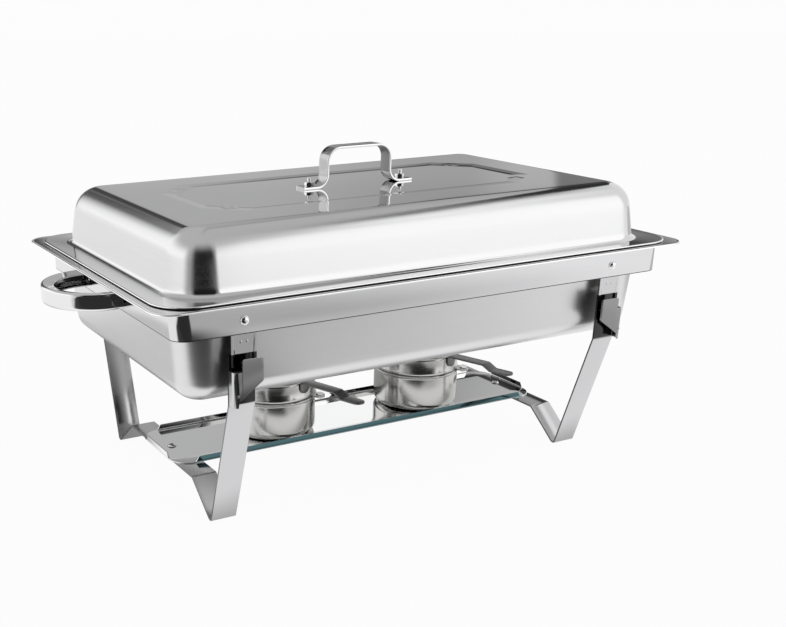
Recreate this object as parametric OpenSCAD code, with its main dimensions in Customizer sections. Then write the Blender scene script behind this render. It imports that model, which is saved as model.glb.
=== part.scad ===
// Full-size food warmer: a water pan, food pan and lid on a strip-steel frame,
// with two fuel cups on a shelf below. Millimetres, +Z up, origin on the floor
// under the middle of the frame, long side along X, front at -Y.

/* [Pans] */
// length of the food pan's rim
food_rim_l = 530; // [400:1:650]
// width of the food pan's rim
food_rim_w = 325; // [265:1:400]
// corner radius of the food pan's rim
food_rim_r = 26; // [20:1:34]
// reach of the food pan's rim past its body
food_flange = 11; // [10:0.5:14]
// corner radius of the food pan's body
food_r = 46; // [40:1:50]
// depth of the food pan
food_depth = 65; // [50:1:68]
// lean of the food pan's walls
food_draft = 6; // [4:0.5:8]
// radius along the bottom edge of the food pan
food_fillet = 15; // [10:1:18]
// reach of the water pan's rim past the ends of the food pan's rim
rim_over_l = 28; // [18:0.5:34]
// reach of the water pan's rim past the sides of the food pan's rim
rim_over_w = 15; // [12:0.5:24]
// corner radius of the water pan's rim
rim_r = 22; // [18:1:32]
// height of the top of the frame band, where the rim sits
band_top = 222.1; // [200:0.1:240]
// sheet thickness of the pans and lid
sheet = 0.8; // [0.6:0.1:1.2]
// height of the folded edge round the rim
hem_h = 1.8; // [1.4:0.1:3]
// width of the folded edge round the rim
hem_w = 4; // [3:0.5:6]
// depth of the water pan below its rim
water_depth = 94.5; // [80:0.5:100]
// lean of the water pan's walls
water_draft = 4.5; // [2:0.5:6]
// radius along the bottom edge of the water pan
water_fillet = 21; // [12:1:24]
// corner radius of the water pan's body
water_r = 32; // [30:1:40]
// space between the ends of the two pans in the mouth of the water pan
pan_clear_l = 8.6; // [4:0.2:9.6]
// space between the sides of the two pans in the mouth of the water pan
pan_clear_w = 2.5; // [1.5:0.5:6]
// space left under a part that rests on another
seat = 0.3; // [0.2:0.05:0.5]

/* [Lid] */
// reach of the lid's rim past the ends of the food pan's rim
lid_over_l = 19; // [12:0.5:22]
// reach of the lid's rim past the sides of the food pan's rim
lid_over_w = 8.5; // [4:0.5:11]
// corner radius of the lid's rim
lid_rim_r = 34; // [26:1:40]
// reach of the lid's rim past the ends of its body
lid_flange_l = 22; // [18:0.5:25]
// reach of the lid's rim past the sides of its body
lid_flange_w = 18.7; // [15:0.1:22]
// corner radius of the lid's body
lid_r = 39; // [36:1:46]
// height of the lid
lid_h = 55.8; // [48:0.2:64]
// lean of the lid's walls
lid_draft = 9; // [5:0.5:11]
// radius along the top edge of the lid
lid_fillet = 28; // [20:1:31]
// distance of the raised panel inside the ends of the lid's body
panel_in_l = 70; // [58:0.5:80]
// distance of the raised panel inside the sides of the lid's body
panel_in_w = 72.3; // [60:0.1:80]
// size of each square step cut from the panel's corners
panel_step = 20; // [14:1:26]
// height of the raised panel
panel_h = 0.8; // [0.6:0.1:1.6]

/* [Lid handle] */
// distance of the lid handle from the middle of the lid
grip_shift = 4.6; // [0:0.2:8]
// width of the lid handle's strip
grip_w = 17; // [14:0.5:22]
// thickness of the lid handle's strip
grip_t = 2.4; // [2:0.1:3]
// height of the lid handle over the lid
grip_h = 40; // [36:1:50]
// distance between the middles of the handle's two uprights
grip_span = 74; // [68:1:84]
// radius of the handle's top bends
grip_bend = 11; // [8:0.5:13]
// radius of the handle's bottom bends
foot_bend = 9; // [7:0.5:10]
// length of each foot past its bend
grip_foot = 18; // [17:0.5:22]
// distance of each bolt past the end of the bend
grip_bolt_in = 8.4; // [7:0.2:10]
// diameter of the lid handle's bolts
lid_bolt_d = 5; // [4:0.5:5.5]
// diameter of the lid bolts' heads
lid_bolt_head_d = 10; // [9:0.5:12]
// height of the lid bolts' heads
lid_bolt_head_h = 2; // [1.6:0.1:3]
// width of the lid nuts across their flats
nut_flats = 8; // [7.5:0.5:9]
// height of the lid nuts
nut_h = 4; // [3:0.5:5]
// length of the bolt that stands out of its nut
bolt_out = 5; // [3:0.5:7]

/* [Frame band] */
// distance of the band inside the ends of the water pan's rim
band_in_l = 22; // [18:0.5:26]
// distance of the band inside the sides of the water pan's rim
band_in_w = 14.8; // [10:0.2:16]
// outside corner radius of the band
band_r = 15; // [12:1:26]
// height of the band
band_h = 28.6; // [26:0.1:34]
// thickness of the band
band_t = 1.5; // [1.2:0.1:2]

/* [Side handles] */
// outside radius of the looped handles
loop_r = 51; // [46:1:58]
// length of the straight arms of the loops
loop_arm = 10.25; // [6:0.25:14]
// distance of the loops below the middle of the band
loop_drop = 2; // [0:0.5:4]
// height of the looped handles
loop_h = 18; // [16:0.5:21]
// depth of the loop's section
loop_d = 13; // [11:0.5:15]
// rounding of the loop's outer edges
loop_edge = 5.5; // [4:0.5:7]
// sheet thickness of the loops
loop_t = 1.6; // [1.4:0.1:2]
// width of the plate at each end of a loop
loop_foot = 16; // [14:0.5:20]
// diameter of the loop's rivets
loop_pin_d = 4; // [3:0.5:5]
// diameter of the heads of the loop's rivets
loop_pin_head = 7; // [6:0.5:8]

/* [Legs] */
// width of the leg strips
strip_w = 26; // [24:0.5:28]
// thickness of the leg strips
strip_t = 2; // [1.6:0.1:2.4]
// distance from the end of the band to the middle of the leg strips
leg_in = 63; // [50:0.5:80]
// distance of the feet inside the sides of the band
foot_in = 46.2; // [40:0.2:54]
// width of the flat under each foot
foot_flat = 5; // [3:0.5:8]
// distance from the middle of a foot to the bend of the cross plate
foot_run = 39.8; // [32:0.2:46]
// height of the underside of the cross plate
cross_z = 28.7; // [24:0.1:36]
// drop from the top of the band to where the legs turn upright
knee_drop = 92.1; // [86:0.1:100]
// height of the upright ends of the legs
leg_rise = 38; // [32:0.5:44]
// width of the hangers
hang_w = 25; // [21:0.5:26]
// thickness of the hangers
hang_t = 1.5; // [1.2:0.1:2]
// height of the hangers' bottom ends over the bends of the legs
hang_over = 16; // [12:0.5:20]
// height of the window in the hangers
hang_gap_h = 16; // [8:0.5:18]
// height of that window over the hangers' bottom ends
hang_gap_up = 14; // [11:0.5:16]
// width of metal left beside that window
hang_side = 3; // [2.5:0.5:6]
// distance from the strip's face to the front of its pocket
pocket_d = 10.5; // [8:0.5:12]
// thickness of the pocket's front
pocket_t = 1.6; // [1.4:0.1:2]
// reach of the pocket's front past the strip's inner edge
pocket_over = 3; // [2:0.5:4]
// rise of the pocket's bottom point over the bend of the leg
pocket_rise = 1.7; // [0.5:0.1:4]
// rise of the pocket's slanted edge
pocket_slant = 20.1; // [14:0.1:24]
// reach of the pocket past the top of the leg
pocket_up = 5; // [1:0.5:7]
// height of the pocket's corner notch
pocket_notch_h = 11; // [8:0.5:14]
// width of the pocket's corner notch
pocket_notch = 8; // [6:0.5:11]
// diameter of the hanger rivets
pin_d = 5; // [4:0.5:6]
// diameter of the hanger rivets' heads
pin_head = 8.6; // [7.6:0.2:10]
// height of the hanger rivets' domes
pin_dome = 2.6; // [2:0.1:3.4]
// distance of the hanger rivets below the top of the band
pin_in = 16.6; // [10:0.2:20]

/* [Shelf] */
// reach of the shelf past the leg strips
shelf_end = 3.5; // [1:0.5:6]
// room beside the cups on the shelf
shelf_room = 3.5; // [2.5:0.5:6]
// corner radius of the shelf
shelf_r = 21; // [16:1:24]
// thickness of the shelf
shelf_t = 1.2; // [1:0.1:1.6]
// height of the shelf's upturned edges
lip_h = 6.5; // [5:0.1:8]
// length of the slope at the ends of those edges
lip_slope = 4; // [2:0.5:6]
// diameter of the shelf screws
screw_d = 5; // [4:0.5:6]
// diameter of the shelf screws' heads
screw_head = 9.5; // [8:0.5:11]
// height of the shelf screws' heads
screw_head_h = 2.6; // [2:0.1:3.4]
// width of the crossed slots in the shelf screws
screw_slot = 1; // [0.8:0.1:1.4]
// length of the shelf screws below the leg sets
screw_out = 2.5; // [1.5:0.5:4]

/* [Fuel cups] */
// distance of each cup from the middle of the shelf
cup_x = 92; // [86:1:98]
// outside radius of the cups
cup_r = 46; // [42:0.5:46.5]
// height of the cups
cup_h = 40; // [36:1:44]
// wall thickness of the cups and covers
cup_t = 1; // [0.8:0.1:1.4]
// radius along the bottom edge of the cups
cup_fillet = 8; // [5:0.5:10]
// radius of the rolled edge of the cups
bead_r = 1.4; // [1.2:0.1:1.8]
// height of the covers
cover_h = 20; // [16:0.5:22]
// distance of the covers' walls inside the cups' walls
cover_in = 0.5; // [0:0.1:1]
// radius along the top edge of the covers
cover_fillet = 4; // [2.5:0.5:6]
// running gap between a cup and its cover
cover_gap = 0.4; // [0.3:0.05:0.6]
// direction of the pivot ears from the cup's middle
ear_turn = -48; // [-52:1:-40]
// distance of the pivot rivets from the cups' walls
ear_out = 7; // [6:0.5:10]
// radius of the rounded end of the ears
ear_r = 5.5; // [5:0.5:6]
// thickness of the ears
ear_t = 1.2; // [1:0.1:1.6]
// diameter of the pivot rivets
pivot_d = 4; // [3:0.5:4.5]
// diameter of the pivot rivets' heads
pivot_head = 8; // [7:0.5:9]
// thickness of the pivot rivets' heads
pivot_head_t = 1; // [0.8:0.1:1.6]
// direction of the cover's arm from the cup's middle
arm_turn = -71; // [-78:1:-69]
// length of the arm past the cover
arm_l = 76; // [60:1:82]
// width of the arm
arm_w = 14; // [11:0.5:15]
// thickness of the arm
arm_t = 1.6; // [1.2:0.1:2]
// length of the arm before its bend
arm_flat = 44; // [34:1:50]
// drop of the arm at its bend
arm_drop = 5; // [3:0.5:6]
// length of the arm's bend
arm_bend = 9; // [7:0.5:12]
// height of the tab that fixes the arm to the cover
tab_h = 13; // [11:0.5:15]

/* [Fits] */
// clearance round a pin that is fixed in its hole
fixed_fit = 0.05; // [0.02:0.01:0.1]
// clearance round a pin that turns in its hole
turn_fit = 0.1; // [0.06:0.01:0.1]

/* [Hidden] */
$fn = 64;
cut = 1;
rim_l = food_rim_l + 2 * rim_over_l;
rim_w = food_rim_w + 2 * rim_over_w;
rim_z = band_top + seat;
food_z = rim_z + sheet + seat;
food_l = food_rim_l - 2 * food_flange;
food_w = food_rim_w - 2 * food_flange;
water_wall = sheet / cos(water_draft);
water_l = food_l + 2 * (pan_clear_l + water_wall);
water_w = food_w + 2 * (pan_clear_w + water_wall);
lid_z = food_z + sheet + seat;
lid_top = lid_z + lid_h;
lid_rim_l = food_rim_l + 2 * lid_over_l;
lid_rim_w = food_rim_w + 2 * lid_over_w;
lid_l = lid_rim_l - 2 * lid_flange_l;
lid_w = lid_rim_w - 2 * lid_flange_w;
panel_l = lid_l - 2 * panel_in_l;
panel_w = lid_w - 2 * panel_in_w;
grip_z = lid_top + panel_h;
bolt_x = grip_span / 2 + foot_bend + grip_bolt_in;
band_l = rim_l - 2 * band_in_l;
band_w = rim_w - 2 * band_in_w;
loop_z = band_top - band_h / 2 - loop_drop;
loop_mid = loop_r - loop_d / 2;
loop_pin_y = loop_mid + loop_d / 2 - loop_foot / 2;
hang_y = band_w / 2 - band_t - hang_t;
strip_mid = band_l / 2 - leg_in;
strip_in = strip_mid - strip_w / 2;
strip_out = strip_mid + strip_w / 2;
knee_z = band_top - knee_drop;
leg_top = knee_z + leg_rise;
foot_y = band_w / 2 - foot_in;
cross_y = foot_y - foot_run;
hang_low = knee_z + hang_over;
hang_gap_z = hang_low + hang_gap_up;
pocket_low = knee_z + pocket_rise;
pocket_mid = pocket_low + pocket_slant;
pocket_top = leg_top + pocket_up;
pocket_notch_z = pocket_top - pocket_notch_h;
pin_x = strip_out - pocket_t - seat - hang_w / 2;
pin_z = band_top - pin_in;
shelf_l = 2 * (strip_out + shelf_end);
shelf_w = 2 * (cup_r + shelf_room);
shelf_z = cross_z + strip_t;
cup_z = shelf_z + shelf_t + seat;
bead_z = cup_z + cup_h;
cover_r = cup_r - cover_in;
cover_z = bead_z + bead_r + cover_gap;
cover_top = cover_z + cover_h;
ear_reach = cup_r + ear_out;

// unit vector on the left of the way from a to b
function left_of(a, b) = [a[1] - b[1], b[0] - a[0]] / norm(b - a);

// corner i of path p moved t to the left, keeping the strip's thickness on both sides
function mitred(p, i, t) =
    let (a = left_of(p[max(i, 1) - 1], p[max(i, 1)]))
    let (k = min(i, len(p) - 2))
    let (b = left_of(p[k], p[k + 1]))
    p[i] + t * (a + b) / (1 + a * b);

// outline of a strip of thickness t that follows path p
function ribbon(p, t) =
    concat(p, [for (i = [len(p) - 1 : -1 : 0]) mitred(p, i, t)]);

// rectangle with rounded corners, centred
module round_rect(l, w, r) {
    square([l - 2 * r, w], center = true);
    square([l, w - 2 * r], center = true);
    for (x = [-1, 1], y = [-1, 1])
        translate([x * (l / 2 - r), y * (w / 2 - r)])
            circle(r);
}

// half of a pan's section: mouth of half-width r0 at height 0, bottom at -depth
module pan_half(r0, depth, draft, fillet) {
    c = r0 - (fillet + (depth - fillet) * sin(draft)) / cos(draft);
    low = depth - fillet;
    polygon([
        [0, 0], [r0, 0], [c + fillet * cos(draft), -low - fillet * sin(draft)],
        [c, -low], [c, -depth], [0, -depth]
    ]);
    translate([c, -low])
        intersection() {
            circle(fillet);
            translate([0, -fillet])
                square(fillet);
        }
}

// section of a drawn pan's wall and the floor beside it, given its outside
module wall_section(r, depth, draft, fillet) {
    difference() {
        pan_half(r, depth, draft, fillet);
        pan_half(r - sheet / cos(draft), depth - sheet, draft, fillet - sheet);
    }
}

// drawn pan without its rim, mouth at height 0: four walls, four corners and a floor
module pan_body(l, w, r, depth, draft, fillet) {
    run_x = l - 2 * r;
    run_y = w - 2 * r;
    for (turn = [0, 180])
        rotate([0, 0, turn]) {
            translate([-run_x / 2, run_y / 2, 0])
                rotate([90, 0, 90])
                    linear_extrude(run_x)
                        wall_section(r, depth, draft, fillet);
            translate([run_x / 2, run_y / 2, 0])
                rotate([90, 0, 0])
                    linear_extrude(run_y)
                        wall_section(r, depth, draft, fillet);
            translate([run_x / 2, run_y / 2, 0])
                rotate_extrude(angle = 90)
                    wall_section(r, depth, draft, fillet);
            translate([-run_x / 2, run_y / 2, 0])
                rotate([0, 0, 90])
                    rotate_extrude(angle = 90)
                        wall_section(r, depth, draft, fillet);
        }
    translate([-run_x / 2, -run_y / 2, -depth])
        cube([run_x, run_y, sheet]);
}

// flat rim plate from height -sheet to 0 round a pan whose mouth has the given outside
module rim_plate(l, w, r, mouth_l, mouth_w, mouth_r) {
    translate([0, 0, -sheet])
        linear_extrude(sheet)
            difference() {
                round_rect(l, w, r);
                round_rect(mouth_l - sheet, mouth_w - sheet, mouth_r - sheet / 2);
            }
}

module water_pan() {
    color([0.80, 0.80, 0.81])
        translate([0, 0, rim_z + sheet]) {
            pan_body(water_l, water_w, water_r, water_depth, water_draft, water_fillet);
            rim_plate(rim_l, rim_w, rim_r, water_l, water_w, water_r);
            translate([0, 0, -hem_h])
                linear_extrude(hem_h)
                    difference() {
                        round_rect(rim_l, rim_w, rim_r);
                        round_rect(rim_l - 2 * hem_w, rim_w - 2 * hem_w, rim_r - hem_w);
                    }
        }
}

module food_pan() {
    color([0.82, 0.82, 0.83])
        translate([0, 0, food_z + sheet]) {
            pan_body(food_l, food_w, food_r, food_depth, food_draft, food_fillet);
            rim_plate(food_rim_l, food_rim_w, food_rim_r, food_l, food_w, food_r);
        }
}

// raised panel with square steps cut from its corners
module lid_panel() {
    square([panel_l, panel_w - 4 * panel_step], center = true);
    square([panel_l - 2 * panel_step, panel_w - 2 * panel_step], center = true);
    square([panel_l - 4 * panel_step, panel_w], center = true);
}

module lid() {
    color([0.74, 0.74, 0.75])
        difference() {
            union() {
                translate([0, 0, lid_z])
                    mirror([0, 0, 1]) {
                        pan_body(lid_l, lid_w, lid_r, lid_h, lid_draft, lid_fillet);
                        rim_plate(lid_rim_l, lid_rim_w, lid_rim_r, lid_l, lid_w, lid_r);
                    }
                translate([0, 0, lid_top])
                    linear_extrude(panel_h)
                        lid_panel();
            }
            for (x = [-bolt_x, bolt_x])
                translate([grip_shift + x, 0, lid_top - sheet - cut])
                    cylinder(d = lid_bolt_d + 2 * fixed_fit, h = sheet + panel_h + 2 * cut);
        }
}

// quarter of a bent strip, centred on the bend, from angle a to a + 90
module strip_bend(r, a) {
    rotate(a)
        intersection() {
            difference() {
                circle(r + grip_t / 2);
                circle(r - grip_t / 2);
            }
            square(r + grip_t);
        }
}

// right half of the lid handle's side view, its foot on height 0
module grip_half() {
    x = grip_span / 2;
    top = grip_h - grip_t / 2;
    low = grip_t / 2;
    translate([0, top - grip_t / 2])
        square([x - grip_bend, grip_t]);
    translate([x - grip_bend, top - grip_bend])
        strip_bend(grip_bend, 0);
    translate([x - grip_t / 2, low + foot_bend])
        square([grip_t, top - grip_bend - low - foot_bend]);
    translate([x + foot_bend, low + foot_bend])
        strip_bend(foot_bend, 180);
    translate([x + foot_bend, 0])
        square([grip_foot, grip_t]);
}

module lid_handle() {
    color([0.86, 0.86, 0.87])
        difference() {
            translate([grip_shift, grip_w / 2, grip_z])
                rotate([90, 0, 0])
                    linear_extrude(grip_w) {
                        grip_half();
                        mirror([1, 0])
                            grip_half();
                    }
            for (x = [-bolt_x, bolt_x])
                translate([grip_shift + x, 0, grip_z - cut])
                    cylinder(d = lid_bolt_d + 2 * fixed_fit, h = grip_t + 2 * cut);
        }
}

// bolt from inside the lid, through the handle's foot and the nut
module lid_bolt(side) {
    under = lid_top - sheet;
    color([0.70, 0.70, 0.71])
        translate([grip_shift + side * bolt_x, 0, under]) {
            translate([0, 0, -lid_bolt_head_h])
                cylinder(d = lid_bolt_head_d, h = lid_bolt_head_h);
            cylinder(d = lid_bolt_d, h = sheet + panel_h + grip_t + nut_h + bolt_out);
        }
}

module lid_bolt_left() {
    lid_bolt(-1);
}

module lid_bolt_right() {
    lid_bolt(1);
}

module lid_nut(side) {
    color([0.76, 0.76, 0.77])
        translate([grip_shift + side * bolt_x, 0, grip_z + grip_t])
            difference() {
                cylinder(d = nut_flats / cos(30), h = nut_h, $fn = 6);
                translate([0, 0, -cut])
                    cylinder(d = lid_bolt_d + 2 * fixed_fit, h = nut_h + 2 * cut);
            }
}

module lid_nut_left() {
    lid_nut(-1);
}

module lid_nut_right() {
    lid_nut(1);
}

module frame_band() {
    color([0.78, 0.78, 0.79])
        difference() {
            translate([0, 0, band_top - band_h])
                linear_extrude(band_h)
                    difference() {
                        round_rect(band_l, band_w, band_r);
                        round_rect(band_l - 2 * band_t, band_w - 2 * band_t, band_r - band_t);
                    }
            for (x = [-pin_x, pin_x])
                translate([x, 0, pin_z])
                    rotate([90, 0, 0])
                        cylinder(d = pin_d + 2 * fixed_fit, h = band_w + 2 * cut, center = true);
            for (y = [-loop_pin_y, loop_pin_y])
                translate([0, y, loop_z])
                    rotate([0, 90, 0])
                        cylinder(d = loop_pin_d + 2 * fixed_fit, h = band_l + 2 * cut, center = true);
        }
}

// half section of a loop handle: flat inside, rounded outside, from r0 to r1
module loop_shape(r0, r1, h, edge) {
    translate([r0, -h / 2])
        square([r1 - edge - r0, h]);
    translate([r0, edge - h / 2])
        square([r1 - r0, h - 2 * edge]);
    for (z = [-1, 1])
        translate([r1 - edge, z * (h / 2 - edge)])
            circle(edge);
}

// section of a loop handle: a channel, open on the inside of the loop
module loop_section() {
    inner = loop_r - loop_d;
    skin = loop_r - loop_t;
    difference() {
        loop_shape(inner, loop_r, loop_h, loop_edge);
        loop_shape(inner - cut, skin, loop_h - 2 * loop_t, loop_edge - loop_t);
    }
}

// looped handle: half a ring, two straight arms and a riveted plate at each end
module side_handle(side) {
    color([0.84, 0.84, 0.85])
        translate([side * band_l / 2, 0, loop_z])
            difference() {
                union() {
                    translate([side * loop_arm, 0, 0])
                        rotate([0, 0, -90 * side])
                            rotate_extrude(angle = 180)
                                loop_section();
                    for (flip = [0, 1])
                        mirror([0, flip, 0])
                            translate([min(0, side * loop_arm), 0, 0])
                                rotate([90, 0, 90])
                                    linear_extrude(loop_arm)
                                        loop_section();
                    for (y = [-1, 1])
                        translate([side * loop_t / 2, y * loop_pin_y, 0])
                            cube([loop_t, loop_foot, loop_h - 2 * loop_edge], center = true);
                }
                for (y = [-loop_pin_y, loop_pin_y])
                    translate([0, y, 0])
                        rotate([0, 90, 0])
                            cylinder(d = loop_pin_d + 2 * fixed_fit, h = 4 * loop_t, center = true);
            }
}

module side_handle_left() {
    side_handle(-1);
}

module side_handle_right() {
    side_handle(1);
}

// rivet with a flat head on the +Z side of height 0 and a shank of the given length below it
module flat_rivet(d, head, head_t, length) {
    cylinder(d = head, h = head_t);
    translate([0, 0, -length])
        cylinder(d = d, h = length);
}

module handle_rivet(side, row) {
    color([0.72, 0.72, 0.73])
        translate([side * (band_l / 2 + loop_t), row * loop_pin_y, loop_z])
            rotate([0, side * 90, 0])
                flat_rivet(loop_pin_d, loop_pin_head, loop_t, loop_t + band_t);
}

module handle_rivet_left_front() {
    handle_rivet(-1, -1);
}

module handle_rivet_left_rear() {
    handle_rivet(-1, 1);
}

module handle_rivet_right_front() {
    handle_rivet(1, -1);
}

module handle_rivet_right_rear() {
    handle_rivet(1, 1);
}

// plate that hangs inside the band and drops into the pocket on a leg
module hanger(side, row) {
    top = band_top - band_t;
    color([0.76, 0.76, 0.77])
        translate([side * pin_x, row * (hang_y + hang_t / 2), 0])
            difference() {
                translate([-hang_w / 2, -hang_t / 2, hang_low])
                    cube([hang_w, hang_t, top - hang_low]);
                translate([hang_side - hang_w / 2, -hang_t, hang_gap_z])
                    cube([hang_w - 2 * hang_side, 2 * hang_t, hang_gap_h]);
                translate([0, 0, pin_z])
                    rotate([90, 0, 0])
                        cylinder(d = pin_d + 2 * fixed_fit, h = hang_t + 2 * cut, center = true);
            }
}

module hanger_left_front() {
    hanger(-1, -1);
}

module hanger_left_rear() {
    hanger(-1, 1);
}

module hanger_right_front() {
    hanger(1, -1);
}

module hanger_right_rear() {
    hanger(1, 1);
}

// dome-headed rivet through the band and a hanger
module hanger_rivet(side, row) {
    ball = (pin_head * pin_head / 4 + pin_dome * pin_dome) / (2 * pin_dome);
    color([0.88, 0.88, 0.89])
        translate([side * pin_x, row * band_w / 2, pin_z])
            rotate([-row * 90, 0, 0]) {
                intersection() {
                    cylinder(d = pin_head, h = pin_dome);
                    translate([0, 0, pin_dome - ball])
                        sphere(ball);
                }
                translate([0, 0, -band_t - hang_t])
                    cylinder(d = pin_d, h = band_t + hang_t);
            }
}

module hanger_rivet_left_front() {
    hanger_rivet(-1, -1);
}

module hanger_rivet_left_rear() {
    hanger_rivet(-1, 1);
}

module hanger_rivet_right_front() {
    hanger_rivet(1, -1);
}

module hanger_rivet_right_rear() {
    hanger_rivet(1, 1);
}

// front of a leg's pocket, seen from the front, outer edge towards +X
module pocket_front() {
    inner = strip_in - pocket_over;
    notch = strip_out - pocket_notch;
    polygon([
        [strip_out, pocket_low], [strip_out, pocket_notch_z], [notch, pocket_notch_z],
        [notch, pocket_top], [inner, pocket_top], [inner, pocket_mid]
    ]);
}

// one strip bent into a front leg, cross plate and rear leg, with a pocket at each top
module leg_set() {
    path = [
        [-hang_y, leg_top], [-hang_y, knee_z],
        [-foot_y - foot_flat / 2, 0], [-foot_y + foot_flat / 2, 0],
        [-cross_y, cross_z], [cross_y, cross_z],
        [foot_y - foot_flat / 2, 0], [foot_y + foot_flat / 2, 0],
        [hang_y, knee_z], [hang_y, leg_top]
    ];
    difference() {
        union() {
            translate([strip_in, 0, 0])
                rotate([90, 0, 90])
                    linear_extrude(strip_w)
                        polygon(ribbon(path, strip_t));
            for (row = [0, 1])
                mirror([0, row, 0]) {
                    translate([0, pocket_t - hang_y - pocket_d, 0])
                        rotate([90, 0, 0])
                            linear_extrude(pocket_t)
                                pocket_front();
                    translate([strip_out - pocket_t, -hang_y - pocket_d, knee_z])
                        cube([pocket_t, pocket_d + strip_t, pocket_notch_z - knee_z]);
                }
        }
        translate([strip_mid, 0, cross_z - cut])
            cylinder(d = screw_d + 2 * fixed_fit, h = strip_t + 2 * cut);
    }
}

module leg_set_left() {
    color([0.79, 0.79, 0.80])
        mirror([1, 0, 0])
            leg_set();
}

module leg_set_right() {
    color([0.79, 0.79, 0.80])
        leg_set();
}

// upturned edge of the shelf, seen from its face, with sloped ends
module lip_face(length) {
    polygon([
        [-length / 2, 0], [length / 2, 0],
        [length / 2 - lip_slope, lip_h], [lip_slope - length / 2, lip_h]
    ]);
}

module shelf() {
    color([0.90, 0.91, 0.92])
        translate([0, 0, shelf_z]) {
            difference() {
                linear_extrude(shelf_t)
                    round_rect(shelf_l, shelf_w, shelf_r);
                for (x = [-strip_mid, strip_mid])
                    translate([x, 0, -cut])
                        cylinder(d = screw_d + 2 * fixed_fit, h = shelf_t + 2 * cut);
            }
            for (turn = [0, 180])
                rotate([0, 0, turn]) {
                    translate([0, shelf_t - shelf_w / 2, 0])
                        rotate([90, 0, 0])
                            linear_extrude(shelf_t)
                                lip_face(shelf_l - 2 * shelf_r);
                    translate([shelf_l / 2 - shelf_t, 0, 0])
                        rotate([90, 0, 90])
                            linear_extrude(shelf_t)
                                lip_face(shelf_w - 2 * shelf_r);
                }
        }
}

// domed screw with a crossed slot, through the shelf and a leg set's cross plate
module shelf_screw(side) {
    ball = (screw_head * screw_head / 4 + screw_head_h * screw_head_h) / (2 * screw_head_h);
    grip = shelf_t + strip_t + screw_out;
    color([0.70, 0.70, 0.71])
        translate([side * strip_mid, 0, shelf_z + shelf_t]) {
            difference() {
                intersection() {
                    cylinder(d = screw_head, h = screw_head_h);
                    translate([0, 0, screw_head_h - ball])
                        sphere(ball);
                }
                for (turn = [0, 90])
                    rotate([0, 0, turn])
                        translate([-screw_d / 2, -screw_slot / 2, screw_head_h / 2])
                            cube([screw_d, screw_slot, screw_head_h]);
            }
            translate([0, 0, -grip])
                cylinder(d = screw_d, h = grip);
        }
}

module shelf_screw_left() {
    shelf_screw(-1);
}

module shelf_screw_right() {
    shelf_screw(1);
}

// pivot ear in plan, pointing along +X from the cup's middle
module ear_plan(root, hole_d) {
    difference() {
        union() {
            translate([root, -ear_r])
                square([ear_reach - root, 2 * ear_r]);
            translate([ear_reach, 0])
                circle(ear_r);
        }
        translate([ear_reach, 0])
            circle(d = hole_d);
    }
}

// open cup with a rolled edge and a pivot ear
module fuel_cup(side) {
    color([0.75, 0.75, 0.74])
        translate([side * cup_x, 0, bead_z]) {
            rotate_extrude() {
                difference() {
                    pan_half(cup_r, cup_h, 0, cup_fillet);
                    pan_half(cup_r - cup_t, cup_h - cup_t, 0, cup_fillet - cup_t);
                }
                translate([cup_r, 0])
                    circle(bead_r);
            }
            translate([0, 0, bead_r - ear_t])
                rotate([0, 0, ear_turn])
                    linear_extrude(ear_t)
                        ear_plan(cup_r, pivot_d + 2 * fixed_fit);
        }
}

module fuel_cup_left() {
    fuel_cup(-1);
}

module fuel_cup_right() {
    fuel_cup(1);
}

// rivet that holds a cover's ear over a cup's ear
module cover_pivot(side) {
    low = bead_z + bead_r - ear_t;
    high = cover_z + ear_t + seat;
    color([0.70, 0.70, 0.70])
        translate([side * cup_x, 0, 0])
            rotate([0, 0, ear_turn])
                translate([ear_reach, 0, 0]) {
                    translate([0, 0, low - pivot_head_t])
                        cylinder(d = pivot_head, h = pivot_head_t);
                    translate([0, 0, low])
                        cylinder(d = pivot_d, h = high - low);
                    translate([0, 0, high])
                        cylinder(d = pivot_head, h = pivot_head_t);
                }
}

module cover_pivot_left() {
    cover_pivot(-1);
}

module cover_pivot_right() {
    cover_pivot(1);
}

// round cover that swings over the cup to put the flame out
module cover(side) {
    color([0.77, 0.77, 0.77])
        translate([side * cup_x, 0, cover_z]) {
            rotate_extrude()
                mirror([0, 1])
                    difference() {
                        pan_half(cover_r, cover_h, 0, cover_fillet);
                        pan_half(cover_r - cup_t, cover_h - cup_t, 0, cover_fillet - cup_t);
                    }
            rotate([0, 0, ear_turn])
                linear_extrude(ear_t)
                    difference() {
                        ear_plan(cover_r - 2 * cup_t, pivot_d + 2 * turn_fit);
                        circle(cover_r - cup_t / 2);
                    }
        }
}

module cover_left() {
    cover(-1);
}

module cover_right() {
    cover(1);
}

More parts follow.
